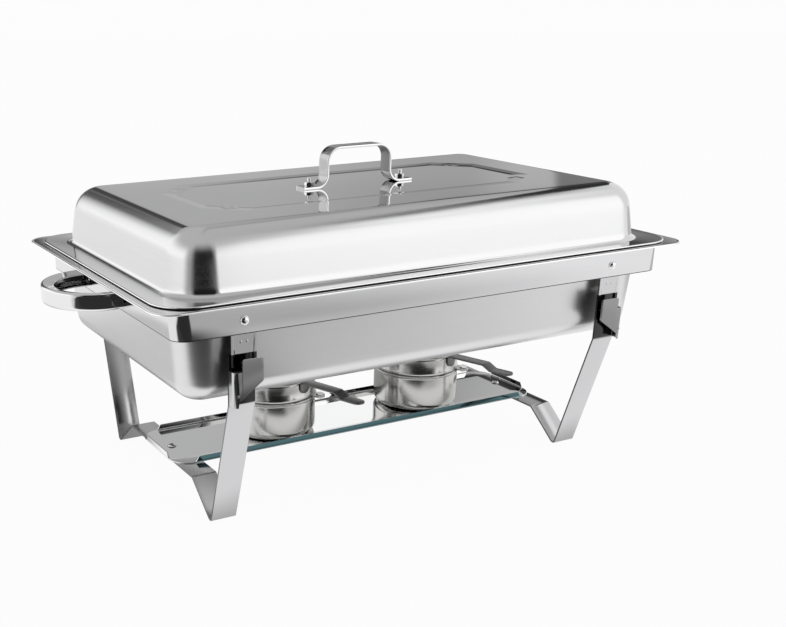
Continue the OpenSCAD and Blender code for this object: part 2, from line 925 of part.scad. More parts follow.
// flat arm with a rounded tab on the cover's wall
module cover_arm(side) {
    reach = cover_r + arm_l;
    top = cover_top - arm_t;
    path = [
        [cover_r, top], [cover_r + arm_flat, top],
        [cover_r + arm_flat + arm_bend, top - arm_drop], [reach, top - arm_drop]
    ];
    color([0.62, 0.62, 0.62])
        translate([side * cup_x, 0, 0])
            rotate([0, 0, arm_turn]) {
                intersection() {
                    translate([0, arm_w / 2, 0])
                        rotate([90, 0, 0])
                            linear_extrude(arm_w)
                                polygon(ribbon(path, arm_t));
                    linear_extrude(cover_top + cut) {
                        translate([cover_r, -arm_w / 2])
                            square([arm_l - arm_w / 2, arm_w]);
                        translate([reach - arm_w / 2, 0])
                            circle(arm_w / 2);
                    }
                }
                intersection() {
                    translate([0, 0, cover_top - tab_h])
                        difference() {
                            cylinder(r = cover_r + arm_t, h = tab_h);
                            translate([0, 0, -cut])
                                cylinder(r = cover_r, h = tab_h + 2 * cut);
                        }
                    translate([0, 0, cover_top])
                        rotate([90, 0, 90])
                            linear_extrude(reach) {
                                translate([0, arm_w / 2 - tab_h])
                                    circle(arm_w / 2);
                                translate([-arm_w / 2, arm_w / 2 - tab_h])
                                    square([arm_w, tab_h - arm_w / 2]);
                            }
                }
            }
}

module cover_arm_left() {
    cover_arm(-1);
}

module cover_arm_right() {
    cover_arm(1);
}

water_pan();
food_pan();
lid();
lid_handle();
lid_bolt_left();
lid_bolt_right();
lid_nut_left();
lid_nut_right();
frame_band();
side_handle_left();
side_handle_right();
handle_rivet_left_front();
handle_rivet_left_rear();
handle_rivet_right_front();
handle_rivet_right_rear();
hanger_left_front();
hanger_left_rear();
hanger_right_front();
hanger_right_rear();
hanger_rivet_left_front();
hanger_rivet_left_rear();
hanger_rivet_right_front();
hanger_rivet_right_rear();
leg_set_left();
leg_set_right();
shelf();
shelf_screw_left();
shelf_screw_right();
fuel_cup_left();
cover_pivot_left();
cover_left();
cover_arm_left();
fuel_cup_right();
cover_pivot_right();
cover_right();
cover_arm_right();
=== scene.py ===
"""Looks of a full-size food warmer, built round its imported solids.
Sizes are in millimetres until a mesh is made, and in metres in the studio."""

import math

import bmesh
import bpy
import numpy as np
from mathutils import Matrix


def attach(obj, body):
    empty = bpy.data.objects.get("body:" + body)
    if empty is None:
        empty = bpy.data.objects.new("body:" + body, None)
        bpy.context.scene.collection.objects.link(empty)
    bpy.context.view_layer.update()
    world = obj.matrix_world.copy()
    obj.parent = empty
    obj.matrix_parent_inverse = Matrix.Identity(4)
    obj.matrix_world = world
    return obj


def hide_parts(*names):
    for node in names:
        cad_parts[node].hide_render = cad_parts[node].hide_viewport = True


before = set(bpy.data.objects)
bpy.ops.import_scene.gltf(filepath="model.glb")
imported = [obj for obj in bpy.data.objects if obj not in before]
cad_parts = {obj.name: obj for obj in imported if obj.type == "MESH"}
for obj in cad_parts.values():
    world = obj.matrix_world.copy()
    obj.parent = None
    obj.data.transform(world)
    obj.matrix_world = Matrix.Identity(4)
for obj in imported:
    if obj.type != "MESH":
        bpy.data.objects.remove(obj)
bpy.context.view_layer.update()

# Leg sets. Each is one strip of bright rolled stainless, bent into a front leg, a foot, a cross plate, the
# second foot and the rear leg. At both tops the outer edge is folded forward and across again, into a pocket
# that takes a hanger of the frame. A spot weld leaves a small dot on each pocket.


class Wire:
    """A socket in a node tree. + - * and abs() on wires and numbers add Math nodes; node() adds any node."""

    def __init__(self, tree, socket=None):
        self.tree = tree
        self.socket = socket

    def node(self, kind, settings=(), inputs=(), out=0):
        """Adds a shader node of that kind: its settings first, then values or wires for its sockets. Gives
        the wire of socket out."""
        made = self.tree.nodes.new("ShaderNode" + kind)
        for key, value in dict(settings).items():
            if key == "stops":
                stops = made.color_ramp.elements
                stops.remove(stops[1])
                stops[0].position = value[0][0]
                for place, _ in value[1:]:
                    stops.new(place)
                for stop, (_, grey) in zip(stops, value):
                    stop.color = (grey, grey, grey, 1)
            else:
                setattr(made, key, value)
        for key, value in dict(inputs).items():
            if isinstance(value, Wire):
                self.tree.links.new(value.socket, made.inputs[key])
            else:
                made.inputs[key].default_value = value
        return Wire(self.tree, made.outputs[out]) if made.outputs else None

    def math(self, operation, first, second=0.0):
        """One Math node."""
        return self.node("Math", {"operation": operation}, {0: first, 1: second})

    def __add__(self, other):
        return self.math("ADD", self, other)

    def __sub__(self, other):
        return self.math("SUBTRACT", self, other)

    def __rsub__(self, other):
        return self.math("SUBTRACT", other, self)

    def __mul__(self, other):
        return self.math("MULTIPLY", self, other)

    __radd__, __rmul__ = __add__, __mul__

    def __abs__(self):
        return self.math("ABSOLUTE", self)

    def larger(self, other):
        return self.math("MAXIMUM", self, other)

    def smaller(self, other):
        return self.math("MINIMUM", self, other)

    def root(self):
        return self.math("SQRT", self)

    def parts(self):
        """The X, Y and Z of a vector."""
        return [self.node("SeparateXYZ", inputs={"Vector": self}, out=axis) for axis in "XYZ"]


def emptied(owner):
    """A first wire in the cleared node tree of a new material or world."""
    owner.use_nodes = True
    owner.node_tree.nodes.clear()
    return Wire(owner.node_tree)


def ramp(wire, low, high, first=0.0, last=1.0):
    """A soft step: first below low, last above high, and a smooth curve between."""
    return wire.node("MapRange", {"interpolation_type": "SMOOTHSTEP"},
                     {"Value": wire, "From Min": low, "From Max": high, "To Min": first, "To Max": last})


def fall(wire, low, high):
    """A soft step down: 1 below low, 0 above high."""
    return ramp(wire, low, high, 1.0, 0.0)


def between(wire, low, high, soft):
    """A soft-edged stretch: 1 from low to high, fading to 0 over soft on both sides."""
    return ramp(wire, low - soft, low) * fall(wire, high, high + soft)


def steel(name, tone, rough, grain, line_depth=0.02, haze=0.04, speck=0.0, patches=(), satin=None):
    """Stainless steel. Thin noise drawn out along the rolling direction moves the roughness and gives a faint
    relief, and a broad cloud of noise adds the haze that hands and cloths leave. grain is the noise's scale
    along X, Y and Z, in waves a metre; speck adds tiny dark pits. patches are other tones, each with the
    function that says where it lies; satin is a function that adds roughness. Both get millimetres."""
    material = bpy.data.materials.new(name)
    start = emptied(material)
    place = start.node("TexCoord", out="Object")
    drawn = start.node("Mapping", inputs={"Vector": place, "Scale": grain})

    def noise(vector, scale, detail, **more):
        inputs = {"Vector": vector, "Scale": scale, "Detail": detail, **more}
        return start.node("TexNoise", inputs=inputs)

    lines = noise(drawn, 1.0, 5.0, Roughness=0.6)
    cloud = noise(place, 9.0, 4.0, Distortion=0.6)
    smear = noise(place, 46.0, 3.0)
    worn = (cloud - 0.5) * haze + (smear - 0.5) * (0.4 * haze)
    light = 1.0 + (cloud - 0.5) * 0.05 + (lines - 0.5) * 0.05
    if speck:
        pits = start.node("TexVoronoi", inputs={"Vector": place, "Scale": 330.0}, out="Distance")
        pit = start.node("ValToRGB", {"stops": ((0.05, 1.0), (0.12, 0.0))}, {"Fac": pits})
        light = light - pit * speck
    spot = [part * 1000.0 for part in place.parts()]
    mix = {"data_type": "RGBA"}
    base = (*tone, 1)
    for other, where in patches:
        base = start.node("Mix", mix, {0: where(*spot), 6: base, 7: (*other, 1)}, out=2)
    tint = start.node("CombineXYZ", inputs={0: light, 1: light, 2: light})
    colour = start.node("Mix", {**mix, "blend_type": "MULTIPLY"}, {0: 1.0, 6: base, 7: tint}, out=2)
    dull = rough + worn + (lines - 0.5) * (0.5 * rough)
    if satin:
        dull = dull + satin(*spot)
    relief = start.node("Bump", inputs={"Strength": line_depth, "Distance": 0.0004, "Height": lines})
    skin = start.node("BsdfPrincipled", inputs={
        "Base Color": colour, "Metallic": 1.0, "Roughness": dull, "Normal": relief})
    start.node("OutputMaterial", inputs={"Surface": skin})
    return material


def quads(rows, columns, first):
    """Corner numbers of each quad of a grid of points that is numbered row by row from first."""
    corner = np.arange(rows - 1)[:, None] * columns + np.arange(columns - 1) + first
    return np.stack([corner, corner + 1, corner + columns + 1, corner + columns], -1).reshape(-1, 4)


def piece(name, grids, body, slot, finish, *stands_for, crease=38):
    """One mesh from grids of points (rows, columns, xyz). Points that coincide become one, so that seams and
    poles close; edges sharper than crease degrees stay sharp. It rides on a body and replaces its solids."""
    sizes = [grid.shape[0] * grid.shape[1] for grid in grids]
    firsts = np.concatenate([[0], np.cumsum(sizes)[:-1]])
    points = np.concatenate([grid.reshape(-1, 3) for grid in grids]) * 0.001
    faces = np.concatenate([quads(*grid.shape[:2], first) for grid, first in zip(grids, firsts)])
    mesh = bpy.data.meshes.new(name)
    mesh.from_pydata(points.tolist(), [], faces.tolist())
    shell = bmesh.new()
    shell.from_mesh(mesh)
    bmesh.ops.remove_doubles(shell, verts=shell.verts, dist=2e-6)
    bmesh.ops.recalc_face_normals(shell, faces=shell.faces)
    shell.to_mesh(mesh)
    shell.free()
    mesh.shade_smooth()
    mesh.set_sharp_from_angle(angle=math.radians(crease))
    mesh.materials.append(finish)
    made = bpy.data.objects.new(name, mesh)
    bpy.context.scene.collection.objects.link(made)
    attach(made, body)
    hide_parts(*stands_for)


def arc(first, last, steps):
    """Points on the unit circle, from one angle to another."""
    angle = np.linspace(first, last, steps)
    return np.stack([np.cos(angle), np.sin(angle)], -1)


def unit(vectors):
    """The same directions with length 1."""
    return vectors / np.linalg.norm(vectors, axis=-1, keepdims=True)


QUARTER = math.pi / 2


def bent(corners, radii, steps=7):
    """A path of points in a plane with each inner corner rounded: the arc that touches both sides runs from
    one tangent point to the other, as a blend of the two spokes by the sines of the shares of the turn."""
    corners = np.asarray(corners, float)
    way = unit(np.diff(corners, axis=0))
    before, after = way[:-1], way[1:]
    turn = np.arccos(np.clip((before * after).sum(1), -1, 1))
    radius = np.broadcast_to(np.asarray(radii, float), turn.shape)
    reach = radius * np.tan(turn / 2)
    centre = corners[1:-1] + unit(after - before) * (radius / np.cos(turn / 2))[:, None]
    spoke_a = corners[1:-1] - before * reach[:, None] - centre
    spoke_b = corners[1:-1] + after * reach[:, None] - centre
    share = np.linspace(0, 1, steps)[None, :, None]
    angle = turn[:, None, None]
    blend = np.sin((1 - share) * angle) * spoke_a[:, None] + np.sin(share * angle) * spoke_b[:, None]
    rounds = centre[:, None] + blend / np.sin(angle)
    return np.concatenate([corners[:1], rounds.reshape(-1, 2), corners[-1:]])


def rounded_section(steps):
    """Once round a flat section with four rounded corners. Gives for each point its direction from the
    corner's centre, whether that corner is at the far end, and whether it is on the front face."""
    corners = [arc(k * QUARTER, (k + 1) * QUARTER, steps) for k in range(4)]
    out, up = np.concatenate([*corners, [[1, 0]]]).T
    far = np.append(np.repeat([True, False, False, True], steps), True)
    face = np.append(np.repeat([True, True, False, False], steps), True)
    return out, up, far, face


def strip(path, across, low, high, thick, edge=0.3):
    """A sheet-metal strip. At each point of the path stands a flat section with rounded edges, from low to
    high along the vector across and half the thickness to each side of the path. Both ends are closed."""
    low, high = (np.broadcast_to(end, len(path))[:, None] for end in (low, high))
    square = unit(np.cross(np.gradient(path, axis=0), across))
    out, up, far, face = rounded_section(4)
    span = np.where(far, high - edge, low + edge) + edge * out
    depth = np.where(face, thick / 2 - edge, edge - thick / 2) + edge * up
    grid = path[:, None] + span[..., None] * across + depth[None, :, None] * square[:, None]
    caps = path[[0, -1], None] + span[[0, -1]][..., None] * across
    return np.concatenate([caps[:1], grid, caps[1:]])


def turned(profile, centre, axis, steps=48):
    """A lathe form: a profile of (radius, height) carried once round an axis through centre."""
    profile = np.asarray(profile, float)
    first = unit(np.cross(axis, (1, 0, 0) if axis[0] == 0 else (0, 1, 0)))
    spokes = arc(0, 2 * math.pi, steps + 1) @ np.stack([first, np.cross(axis, first)])
    return centre + profile[:, None, 1:] * axis + profile[:, None, :1] * spokes


def mirrored(grids, axis):
    """The same grids on the other side of the frame."""
    flip = np.ones(3)
    flip[axis] = -1
    return [grid * flip for grid in grids]


DOT_ROUND, DOT_HIGH, DOT_DEEP = 1.3, 0.25, 0.3


def weld_dot(x, y, z, way):
    """A spot weld: a low dome that stands out of a sheet."""
    dome = arc(QUARTER, 0, 6) * (DOT_ROUND, DOT_HIGH)
    return turned([*dome, (DOT_ROUND, -DOT_DEEP), (0, -DOT_DEEP)], (x, y, z), (0, way, 0), 20)


STRIP_IN, STRIP_OUT, STRIP_THICK = 195.0, 221.0, 2.0
LEG_Y, LEG_TOP, KNEE = 159.7, 175.5, 130.0
FOOT_Y, FOOT_FLAT, CROSS_Y, CROSS_Z = 116.5, 5.0, 76.7, 28.7
KNEE_BEND, TOE_BEND, CROSS_BEND = 7.0, 2.2, 3.5
half = STRIP_THICK / 2
lean = math.atan2(LEG_Y - FOOT_Y - FOOT_FLAT / 2, KNEE)
rise = math.atan2(CROSS_Z, FOOT_Y - FOOT_FLAT / 2 - CROSS_Y)
knee_in, foot_in, toe_in = (half * math.tan(turn / 2) for turn in (lean, QUARTER - lean, rise))
front = [
    (-LEG_Y + half, LEG_TOP), (-LEG_Y + half, KNEE - knee_in),
    (-FOOT_Y - FOOT_FLAT / 2 + foot_in, half), (-FOOT_Y + FOOT_FLAT / 2 - toe_in, half),
    (-CROSS_Y - toe_in, CROSS_Z + half),
]
bends = (KNEE_BEND, TOE_BEND, TOE_BEND, CROSS_BEND)
line = bent(front + [(-y, z) for y, z in front[::-1]], bends + bends[::-1])
leg_strip = strip(np.insert(line, 0, 0, axis=1), (1, 0, 0), STRIP_IN, STRIP_OUT, STRIP_THICK, 0.35)

POCKET_DEEP, POCKET_THICK, POCKET_OVER = 10.5, 1.6, 3.0
POCKET_LOW, POCKET_MID, POCKET_TOP, DOT_Z = 131.7, 151.8, 173.0, 140.5
NOTCH_Z, NOTCH_WIDE, FOLD_ROUND, FOLD_BACK = 162.0, 8.0, 4.3, 2.0
LOW_CORNER, TOP_CORNER, NOTCH_CORNER = 1.2, 2.2, 1.6
face_y = -LEG_Y - POCKET_DEEP + POCKET_THICK / 2
back_y = -LEG_Y + 1.0
wall_x, fold_x, lap_x = STRIP_OUT - POCKET_THICK / 2, STRIP_OUT - 6, STRIP_OUT - 5
inner_x = STRIP_IN - POCKET_OVER
notch_x = STRIP_OUT - NOTCH_WIDE
across_front = np.concatenate([
    inner_x + np.array([0, 0.15, 0.6, 1.2, 2, 3]), np.linspace(inner_x + 5, notch_x - 3, 8),
    notch_x - np.array([2, 1.2, 0.6, 0.15, 0.0]), notch_x + np.array([0.05, 0.15, 0.6, 1.2]),
    np.linspace(notch_x + 1.5, fold_x, 3),
])
fold = bent([(fold_x, face_y), (wall_x, face_y), (wall_x, back_y), (lap_x, back_y)],
            (FOLD_ROUND, FOLD_BACK), 12)
plan = np.concatenate([np.stack([across_front, np.full(len(across_front), face_y)], -1), fold[1:]])


def eased(distance, radius):
    """How far a rounded corner stays back from its edge: a quarter circle of that radius at distance 0."""
    left = np.clip(radius - distance, 0, radius)
    return radius - np.sqrt(np.clip(radius ** 2 - left ** 2, 0, None))


slope = (POCKET_MID - POCKET_LOW) / (STRIP_OUT - inner_x)
on_front = plan[:, 1] < face_y + 0.01
pocket_low = np.where(on_front, POCKET_LOW + (STRIP_OUT - plan[:, 0]) * slope, KNEE - 0.5)
pocket_low = pocket_low + eased(plan[:, 0] - inner_x, LOW_CORNER)
raised = POCKET_TOP - eased(plan[:, 0] - inner_x, TOP_CORNER) - eased(notch_x - plan[:, 0], NOTCH_CORNER)
pocket_high = np.where(plan[:, 0] <= notch_x, raised, NOTCH_Z)
pocket = strip(np.insert(plan, 2, 0, axis=1), (0, 0, 1), pocket_low, pocket_high, POCKET_THICK, 0.25)
top_grids = [pocket, weld_dot(STRIP_OUT - 4, -LEG_Y - POCKET_DEEP, DOT_Z, -1)]
leg_grids = [leg_strip, *top_grids, *mirrored(top_grids, 1)]


def pocket_shade_and_dark_edges(x, y, z):
    """Painted shade: black inside the pockets and behind the hangers, where shade falls. Darker on the
    pockets' fronts, and dark on the strip's sheared edges."""
    far, out, face = abs(x), abs(y), LEG_Y + POCKET_DEEP
    high = ramp(z, KNEE - 2, KNEE + 1)
    deep = fall(out, face - POCKET_THICK - 0.1, face - POCKET_THICK)
    deep = deep * fall(z, LEG_TOP, LEG_TOP + 1) * fall(far, STRIP_OUT - 1.5, STRIP_OUT - 0.8)
    deep = deep.larger(fall(out, LEG_Y + 0.5, LEG_Y + 0.8)) * high
    plate = high * ramp(out, face - 0.6, face - 0.1)
    sheared = (1.0 - high) * (1.0 - between(far, STRIP_IN + 0.3, STRIP_OUT - 0.3, 0.2))
    return deep * 0.97 + plate * 0.55 + sheared * 0.7


# The black inside the pockets and behind the hangers is painted shade.
strip_steel = steel("rolled_strip_steel", (0.62, 0.62, 0.63), 0.12, (700, 700, 14), 0.03, 0.05, 0.10,
                    [((0.05, 0.05, 0.05), pocket_shade_and_dark_edges)])
piece("leg_strip_right", leg_grids, "frame", "frame_steel", strip_steel, "leg_set_right")
piece("leg_strip_left", mirrored(leg_grids, 0), "frame", "frame_steel", strip_steel, "leg_set_left")

# Shelf. A thin mirror-polished stainless sheet lies on the two cross plates. Its four edges are turned up
# between the rounded corners, and the ends of each upturn are cut at a slope.

SHELF_LONG, SHELF_WIDE, SHELF_ROUND, SHELF_THICK = 449.0, 99.0, 21.0, 1.2
SHELF_Z, LIP_HIGH, LIP_SLOPE, LIP_BEND = 30.7, 6.5, 4.0, 1.7
SHELF_TOP = SHELF_Z + SHELF_THICK


def walk(fx, fy, turns=14):
    """A walk round a rounded rectangle, from the left of its front side. Gives for each point its share of
    the straight sides in x and y, and the direction of its spoke on the corners."""
    over, out = arc(0, QUARTER, turns + 1)[1:-1].T
    one_x, one_y, turn = np.ones(len(fx)), np.ones(len(fy)), np.ones(len(out))
    none_x, none_y = 0 * one_x, 0 * one_y
    share_x = np.concatenate([fx, turn, one_y, turn, fx[::-1], -turn, -one_y, -turn, fx[:1]])
    share_y = np.concatenate([-one_x, -turn, fy, turn, one_x, turn, fy[::-1], -turn, -one_x[:1]])
    spoke_x = np.concatenate([none_x, out, one_y, over, none_x, -out, -one_y, -over, [0]])
    spoke_y = np.concatenate([-one_x, -over, none_y, out, one_x, over, none_y, -out, [-1]])
    return share_x, share_y, spoke_x, spoke_y


def rings(walked, half_x, half_y, radius, height):
    """Rounded rectangles one above the other, each with its own half sizes, corner radius and height: the
    straight shares run to the corner's centre, and the spoke adds the radius."""
    share_x, share_y, spoke_x, spoke_y = walked
    half_x, half_y, radius, height = (np.asarray(v, float)[:, None] for v in (half_x, half_y, radius, height))
    x = share_x * (half_x - radius) + spoke_x * radius
    y = share_y * (half_y - radius) + spoke_y * radius
    return np.stack([x, y, height + 0 * x], -1)


def plate_patch(fx, fy, half_x, half_y, height):
    """The flat middle of a sheet, between the centres of its corners."""
    x, y = np.meshgrid(fx * half_x, fy * half_y, indexing="ij")
    return np.stack([x, y, height + 0 * x], -1)


even_x, even_y = np.linspace(-1, 1, 19), np.linspace(-1, 1, 7)
edge = SHELF_THICK / 2
shelf_mid = SHELF_Z + edge
nose = arc(-QUARTER, QUARTER, 7) * edge + (SHELF_ROUND - edge, shelf_mid)
out, heights = np.concatenate([[[0, SHELF_Z]], nose, [[0, SHELF_TOP]]]).T
core_x, core_y = SHELF_LONG / 2 - SHELF_ROUND, SHELF_WIDE / 2 - SHELF_ROUND
shelf_grids = [
    rings(walk(even_x, even_y), core_x + out, core_y + out, out, heights),
    plate_patch(even_x, even_y, core_x, core_y, SHELF_Z),
    plate_patch(even_x, even_y, core_x, core_y, SHELF_TOP),
]


def upturn(half_run, half_gap, along):
    """An upturned edge: a line leaves the sheet and bends up, and a strip on it narrows by the end slopes. It
    runs along axis 0 or 1."""
    lip = half_gap - edge
    line = bent([(half_gap - 5, shelf_mid), (lip, shelf_mid), (lip, SHELF_Z + LIP_HIGH)], LIP_BEND, 9)
    run = half_run - LIP_SLOPE * np.clip((line[:, 1] - shelf_mid) / LIP_HIGH, 0, 1)
    return strip(np.insert(line, along, 0, axis=1), np.eye(3)[along], -run, run, SHELF_THICK - 0.04, 0.25)


side_lip = upturn(core_x, SHELF_WIDE / 2, 0)
end_lip = upturn(core_y, SHELF_LONG / 2, 1)
shelf_grids += [side_lip, end_lip, *mirrored([side_lip], 1), *mirrored([end_lip], 0)]


def film(x, y, z):
    """Where blue-green film is left on the sheet: the outer face of the front upturn."""
    return fall(y, 0.15 - SHELF_WIDE / 2, 0.45 - SHELF_WIDE / 2) * ramp(z, SHELF_Z, SHELF_Z + 1.0)


def end_lip_shade(x, y, z):
    """Painted shade: the inner faces of the two end upturns, which are dark."""
    return between(abs(x) - SHELF_LONG / 2, -3.0, -0.9, 0.2) * ramp(z, SHELF_Z + 1.4, SHELF_Z + 2.4)


# The near-black on the end upturns' inner faces is painted shade.
mirror_steel = steel("mirror_sheet_steel", (0.90, 0.905, 0.905), 0.045, (30, 500, 500), 0.004, 0.02,
                     patches=[((0.075, 0.145, 0.16), film), ((0.02, 0.02, 0.02), end_lip_shade)])
piece("shelf_sheet", shelf_grids, "frame", "shelf_steel", mirror_steel, "shelf")

# Shelf screws. One domed machine screw with a crossed slot goes through each end of the shelf and the cross
# plate of a leg set. Bright plated steel.

SCREW_X, SCREW_ROUND, SCREW_HEAD, SCREW_DOME, SHANK, SHANK_TIP = 208.0, 2.5, 4.75, 2.6, 5.7, 0.4
SLOT_WIDE, SLOT_LONG, SLOT_DEEP = 1.1, 2.7, 1.5
SIDES = ((-1, "left"), (1, "right"))


def slotted_head(x):
    """A dome on a polar grid, as a ball's cap. Where a point lies in one of two crossed slots, it drops."""
    ball = (SCREW_HEAD ** 2 + SCREW_DOME ** 2) / (2 * SCREW_DOME)
    radius = np.linspace(0, SCREW_HEAD, 40)[:, None]
    px, py = radius * arc(0, 2 * math.pi, 97).T[:, None]
    dome = np.sqrt(ball ** 2 - radius ** 2) - ball + SCREW_DOME + 0 * px
    long_x = (np.abs(py) < SLOT_WIDE / 2) & (np.abs(px) < SLOT_LONG)
    long_y = (np.abs(px) < SLOT_WIDE / 2) & (np.abs(py) < SLOT_LONG)
    dome = np.where(long_x | long_y, np.minimum(dome, SCREW_DOME - SLOT_DEEP), dome)
    return np.stack([x + px, py, SHELF_TOP + dome], -1)


def slot_and_seam_shade(x, y, z):
    """Painted shade in the crossed slot and in the seam under the head: near both of the screw's own axes."""
    along, across = abs(abs(x) - SCREW_X), abs(y)
    narrow = fall(along.smaller(across), SLOT_WIDE / 2 - 0.1, SLOT_WIDE / 2 + 0.1)
    short = fall(along.larger(across), SLOT_LONG - 0.1, SLOT_LONG + 0.1)
    seam = fall(z, SHELF_TOP + 0.3, SHELF_TOP + 0.8)
    return seam.larger(narrow * short)


# The near-black in the slot and under the head is painted shade.
screw_steel = steel("crossed_screw_steel", (0.76, 0.76, 0.76), 0.11, (160, 160, 160), 0.03, 0.05,
                    patches=[((0.03, 0.03, 0.03), slot_and_seam_shade)])
shank = [(SCREW_HEAD, 0), (SCREW_ROUND, 0), (SCREW_ROUND, SHANK_TIP - SHANK),
         (SCREW_ROUND - SHANK_TIP, -SHANK), (0, -SHANK)]
for side, name in SIDES:
    x = side * SCREW_X
    grids = [slotted_head(x), turned(shank, (x, 0, SHELF_TOP), (0, 0, 1), 96)]
    piece(f"crossed_screw_{name}", grids, "frame", "fastener_steel", screw_steel, f"shelf_screw_{name}")

# Frame band. One strip of bright stainless stands on edge, bent into a ring with four rounded corners and
# welded. The water pan's rim sits on it; hangers and handles are riveted to it.

BAND_LONG, BAND_WIDE, BAND_ROUND, BAND_EASE = 542.0, 325.4, 15.0, 0.4
BAND_TOP, BAND_HIGH, BAND_THICK = 222.1, 28.6, 1.5
out, up, far, face = rounded_section(5)
inset = np.where(far, -BAND_EASE, BAND_EASE - BAND_THICK) + BAND_EASE * out
above = np.where(face, -BAND_EASE, BAND_EASE - BAND_HIGH) + BAND_EASE * up
band = rings(walk(even_x, even_y, 18), BAND_LONG / 2 + inset, BAND_WIDE / 2 + inset, BAND_ROUND + inset,
             BAND_TOP + above)


def gap_shadow_line(x, y, z):
    """Painted shadow: a dark line on the lower edge of the band, for the shaded gap between band and pan."""
    return fall(z, BAND_TOP - BAND_HIGH + 0.7, BAND_TOP - BAND_HIGH + 1.0)


# The dark line along the band's lower edge is painted shadow.
band_steel = steel("band_steel", (0.74, 0.74, 0.75), 0.10, (14, 14, 700), 0.02, 0.05,
                   patches=[((0.06, 0.06, 0.06), gap_shadow_line)])
piece("band_ring", [band], "frame", "frame_steel", band_steel, "frame_band")

# Hangers. Four flat plates stand inside the band and drop into the pockets of the legs. Each has a window and
# is held by one dome-headed rivet; two spot welds mark it below the rivet.

HANG_WIDE, HANG_THICK, HANG_LOW, HANG_TOP, HANG_EASE = 25.0, 1.5, 146.0, 220.6, 0.25
HANG_X, HANG_SIDE, WINDOW_LOW, WINDOW_HIGH, MARK_X, MARK_Z = 206.6, 3.0, 160.0, 16.0, 3.0, 186.5
HANG_Y = LEG_Y + HANG_THICK / 2
hang_walk = walk(np.linspace(-1, 1, 5), np.linspace(-1, 1, 9), 5)
thin = HANG_THICK / 2
bevel = np.array([HANG_EASE, 0, 0, HANG_EASE])
depth = np.array([-thin, HANG_EASE - thin, thin - HANG_EASE, thin])
plate = rings(hang_walk, HANG_WIDE / 2 - bevel, (HANG_TOP - HANG_LOW) / 2 - bevel, [1.5] * 4, depth)
window = rings(hang_walk, HANG_WIDE / 2 - HANG_SIDE + bevel, WINDOW_HIGH / 2 + bevel, [1.0] * 4, depth)
plate += (0, (HANG_TOP + HANG_LOW) / 2, 0)
window += (0, WINDOW_LOW + WINDOW_HIGH / 2, 0)
hanger = np.concatenate([plate, window[::-1], plate[:1]])[..., [0, 2, 1]]
RIVET_Z, RIVET_ROUND, RIVET_DOME = 205.5, 4.3, 2.6
rivet = [*(arc(QUARTER, 0, 10) * (RIVET_ROUND, RIVET_DOME)), (RIVET_ROUND - 0.3, -0.02), (2.5, -0.02),
         (2.5, -3.0), (2.9, -3.0), (2.9, -3.5), (2.4, -3.7), (0, -3.7)]
bolt_steel = steel("bright_fastener_steel", (0.93, 0.93, 0.93), 0.12, (160, 160, 160), 0.03, 0.05)
ROWS = ((-1, "front"), (1, "rear"))
for side, name_x in SIDES:
    for row, name_y in ROWS:
        x, face = side * HANG_X, row * (HANG_Y + thin)
        marks = [weld_dot(x + aside, face, MARK_Z, row) for aside in (-MARK_X, MARK_X)]
        dome = turned(rivet, (x, row * BAND_WIDE / 2, RIVET_Z), (0, row, 0), 40)
        place = f"{name_x}_{name_y}"
        piece(f"hanger_plate_{place}", [hanger + (x, row * HANG_Y, 0), *marks], "frame", "frame_steel",
              strip_steel, f"hanger_{place}")
        piece(f"dome_rivet_{place}", [dome], "frame", "fastener_steel", bolt_steel, f"hanger_rivet_{place}")

# Side handles. Each is a half ring with short straight arms, pressed from mirror-polished sheet: a channel
# that is open on the inside, with a crest near its outer face. Both ends are riveted to the end of the band.

LOOP_OUT, LOOP_IN, LOOP_ARM, LOOP_Z, LOOP_THICK = 51.0, 38.0, 10.25, 205.8, 1.6
CREST, BRIM, CREST_ROUND = 8.2, 5.6, 2.0
LOOP_X, LOOP_PIN_Y, LOOP_FOOT, LOOP_FOOT_HIGH = BAND_LONG / 2, 43.0, 16.0, 7.0
thin = LOOP_THICK / 2


def channel():
    """Closed section of the pressed channel, as radius and height: a bent line from the lower brim round the
    crown to the upper brim, moved half the sheet to both sides, with a half-round nose on each brim."""
    line = bent([(LOOP_IN + thin, -BRIM), (LOOP_OUT - thin, -CREST), (LOOP_OUT - thin, CREST),
                 (LOOP_IN + thin, BRIM)], CREST_ROUND, 9)
    flank = np.linspace(0, 1, 6)[:-1, None]
    crown = np.linspace(0, 1, 7)[1:-1, None]
    line = np.concatenate([
        line[0] + flank * (line[1] - line[0]), line[1:10], line[9] + crown * (line[10] - line[9]),
        line[10:-1], line[-1] + flank[::-1] * (line[-2] - line[-1])])
    way = unit(np.gradient(line, axis=0)) * thin
    out = np.stack([way[:, 1], -way[:, 0]], -1)
    nose = arc(0, math.pi, 7)[1:-1]
    end = line[-1] + nose @ np.stack([out[-1], way[-1]])
    start = line[0] - nose @ np.stack([out[0], way[0]])
    ring = np.concatenate([line + out, end, (line - out)[::-1], start])
    return np.concatenate([ring, ring[:1]])


section = channel()
arm_run = np.linspace(0, LOOP_ARM, 5)[:-1]
along = np.concatenate([arm_run, np.full(65, LOOP_ARM), arm_run[::-1]])[:, None]
ahead, aside = np.concatenate([[[0, -1]] * 4, arc(-QUARTER, QUARTER, 65), [[0, 1]] * 4]).T[..., None]


def channel_inside_shade(x, y, z):
    """Painted shade inside the channel: below the slope of the brims and
    within the crown."""
    past = (abs(x) - (LOOP_X + LOOP_ARM)).larger(0.0)
    radius = (past * past + y * y).root()
    roof = (radius - LOOP_IN) * ((CREST - BRIM) / (LOOP_OUT - LOOP_IN)) + (BRIM - 0.3)
    return ramp(roof - abs(z - LOOP_Z), -0.2, 0.2) * fall(radius, LOOP_OUT - 1.2, LOOP_OUT - 0.9)
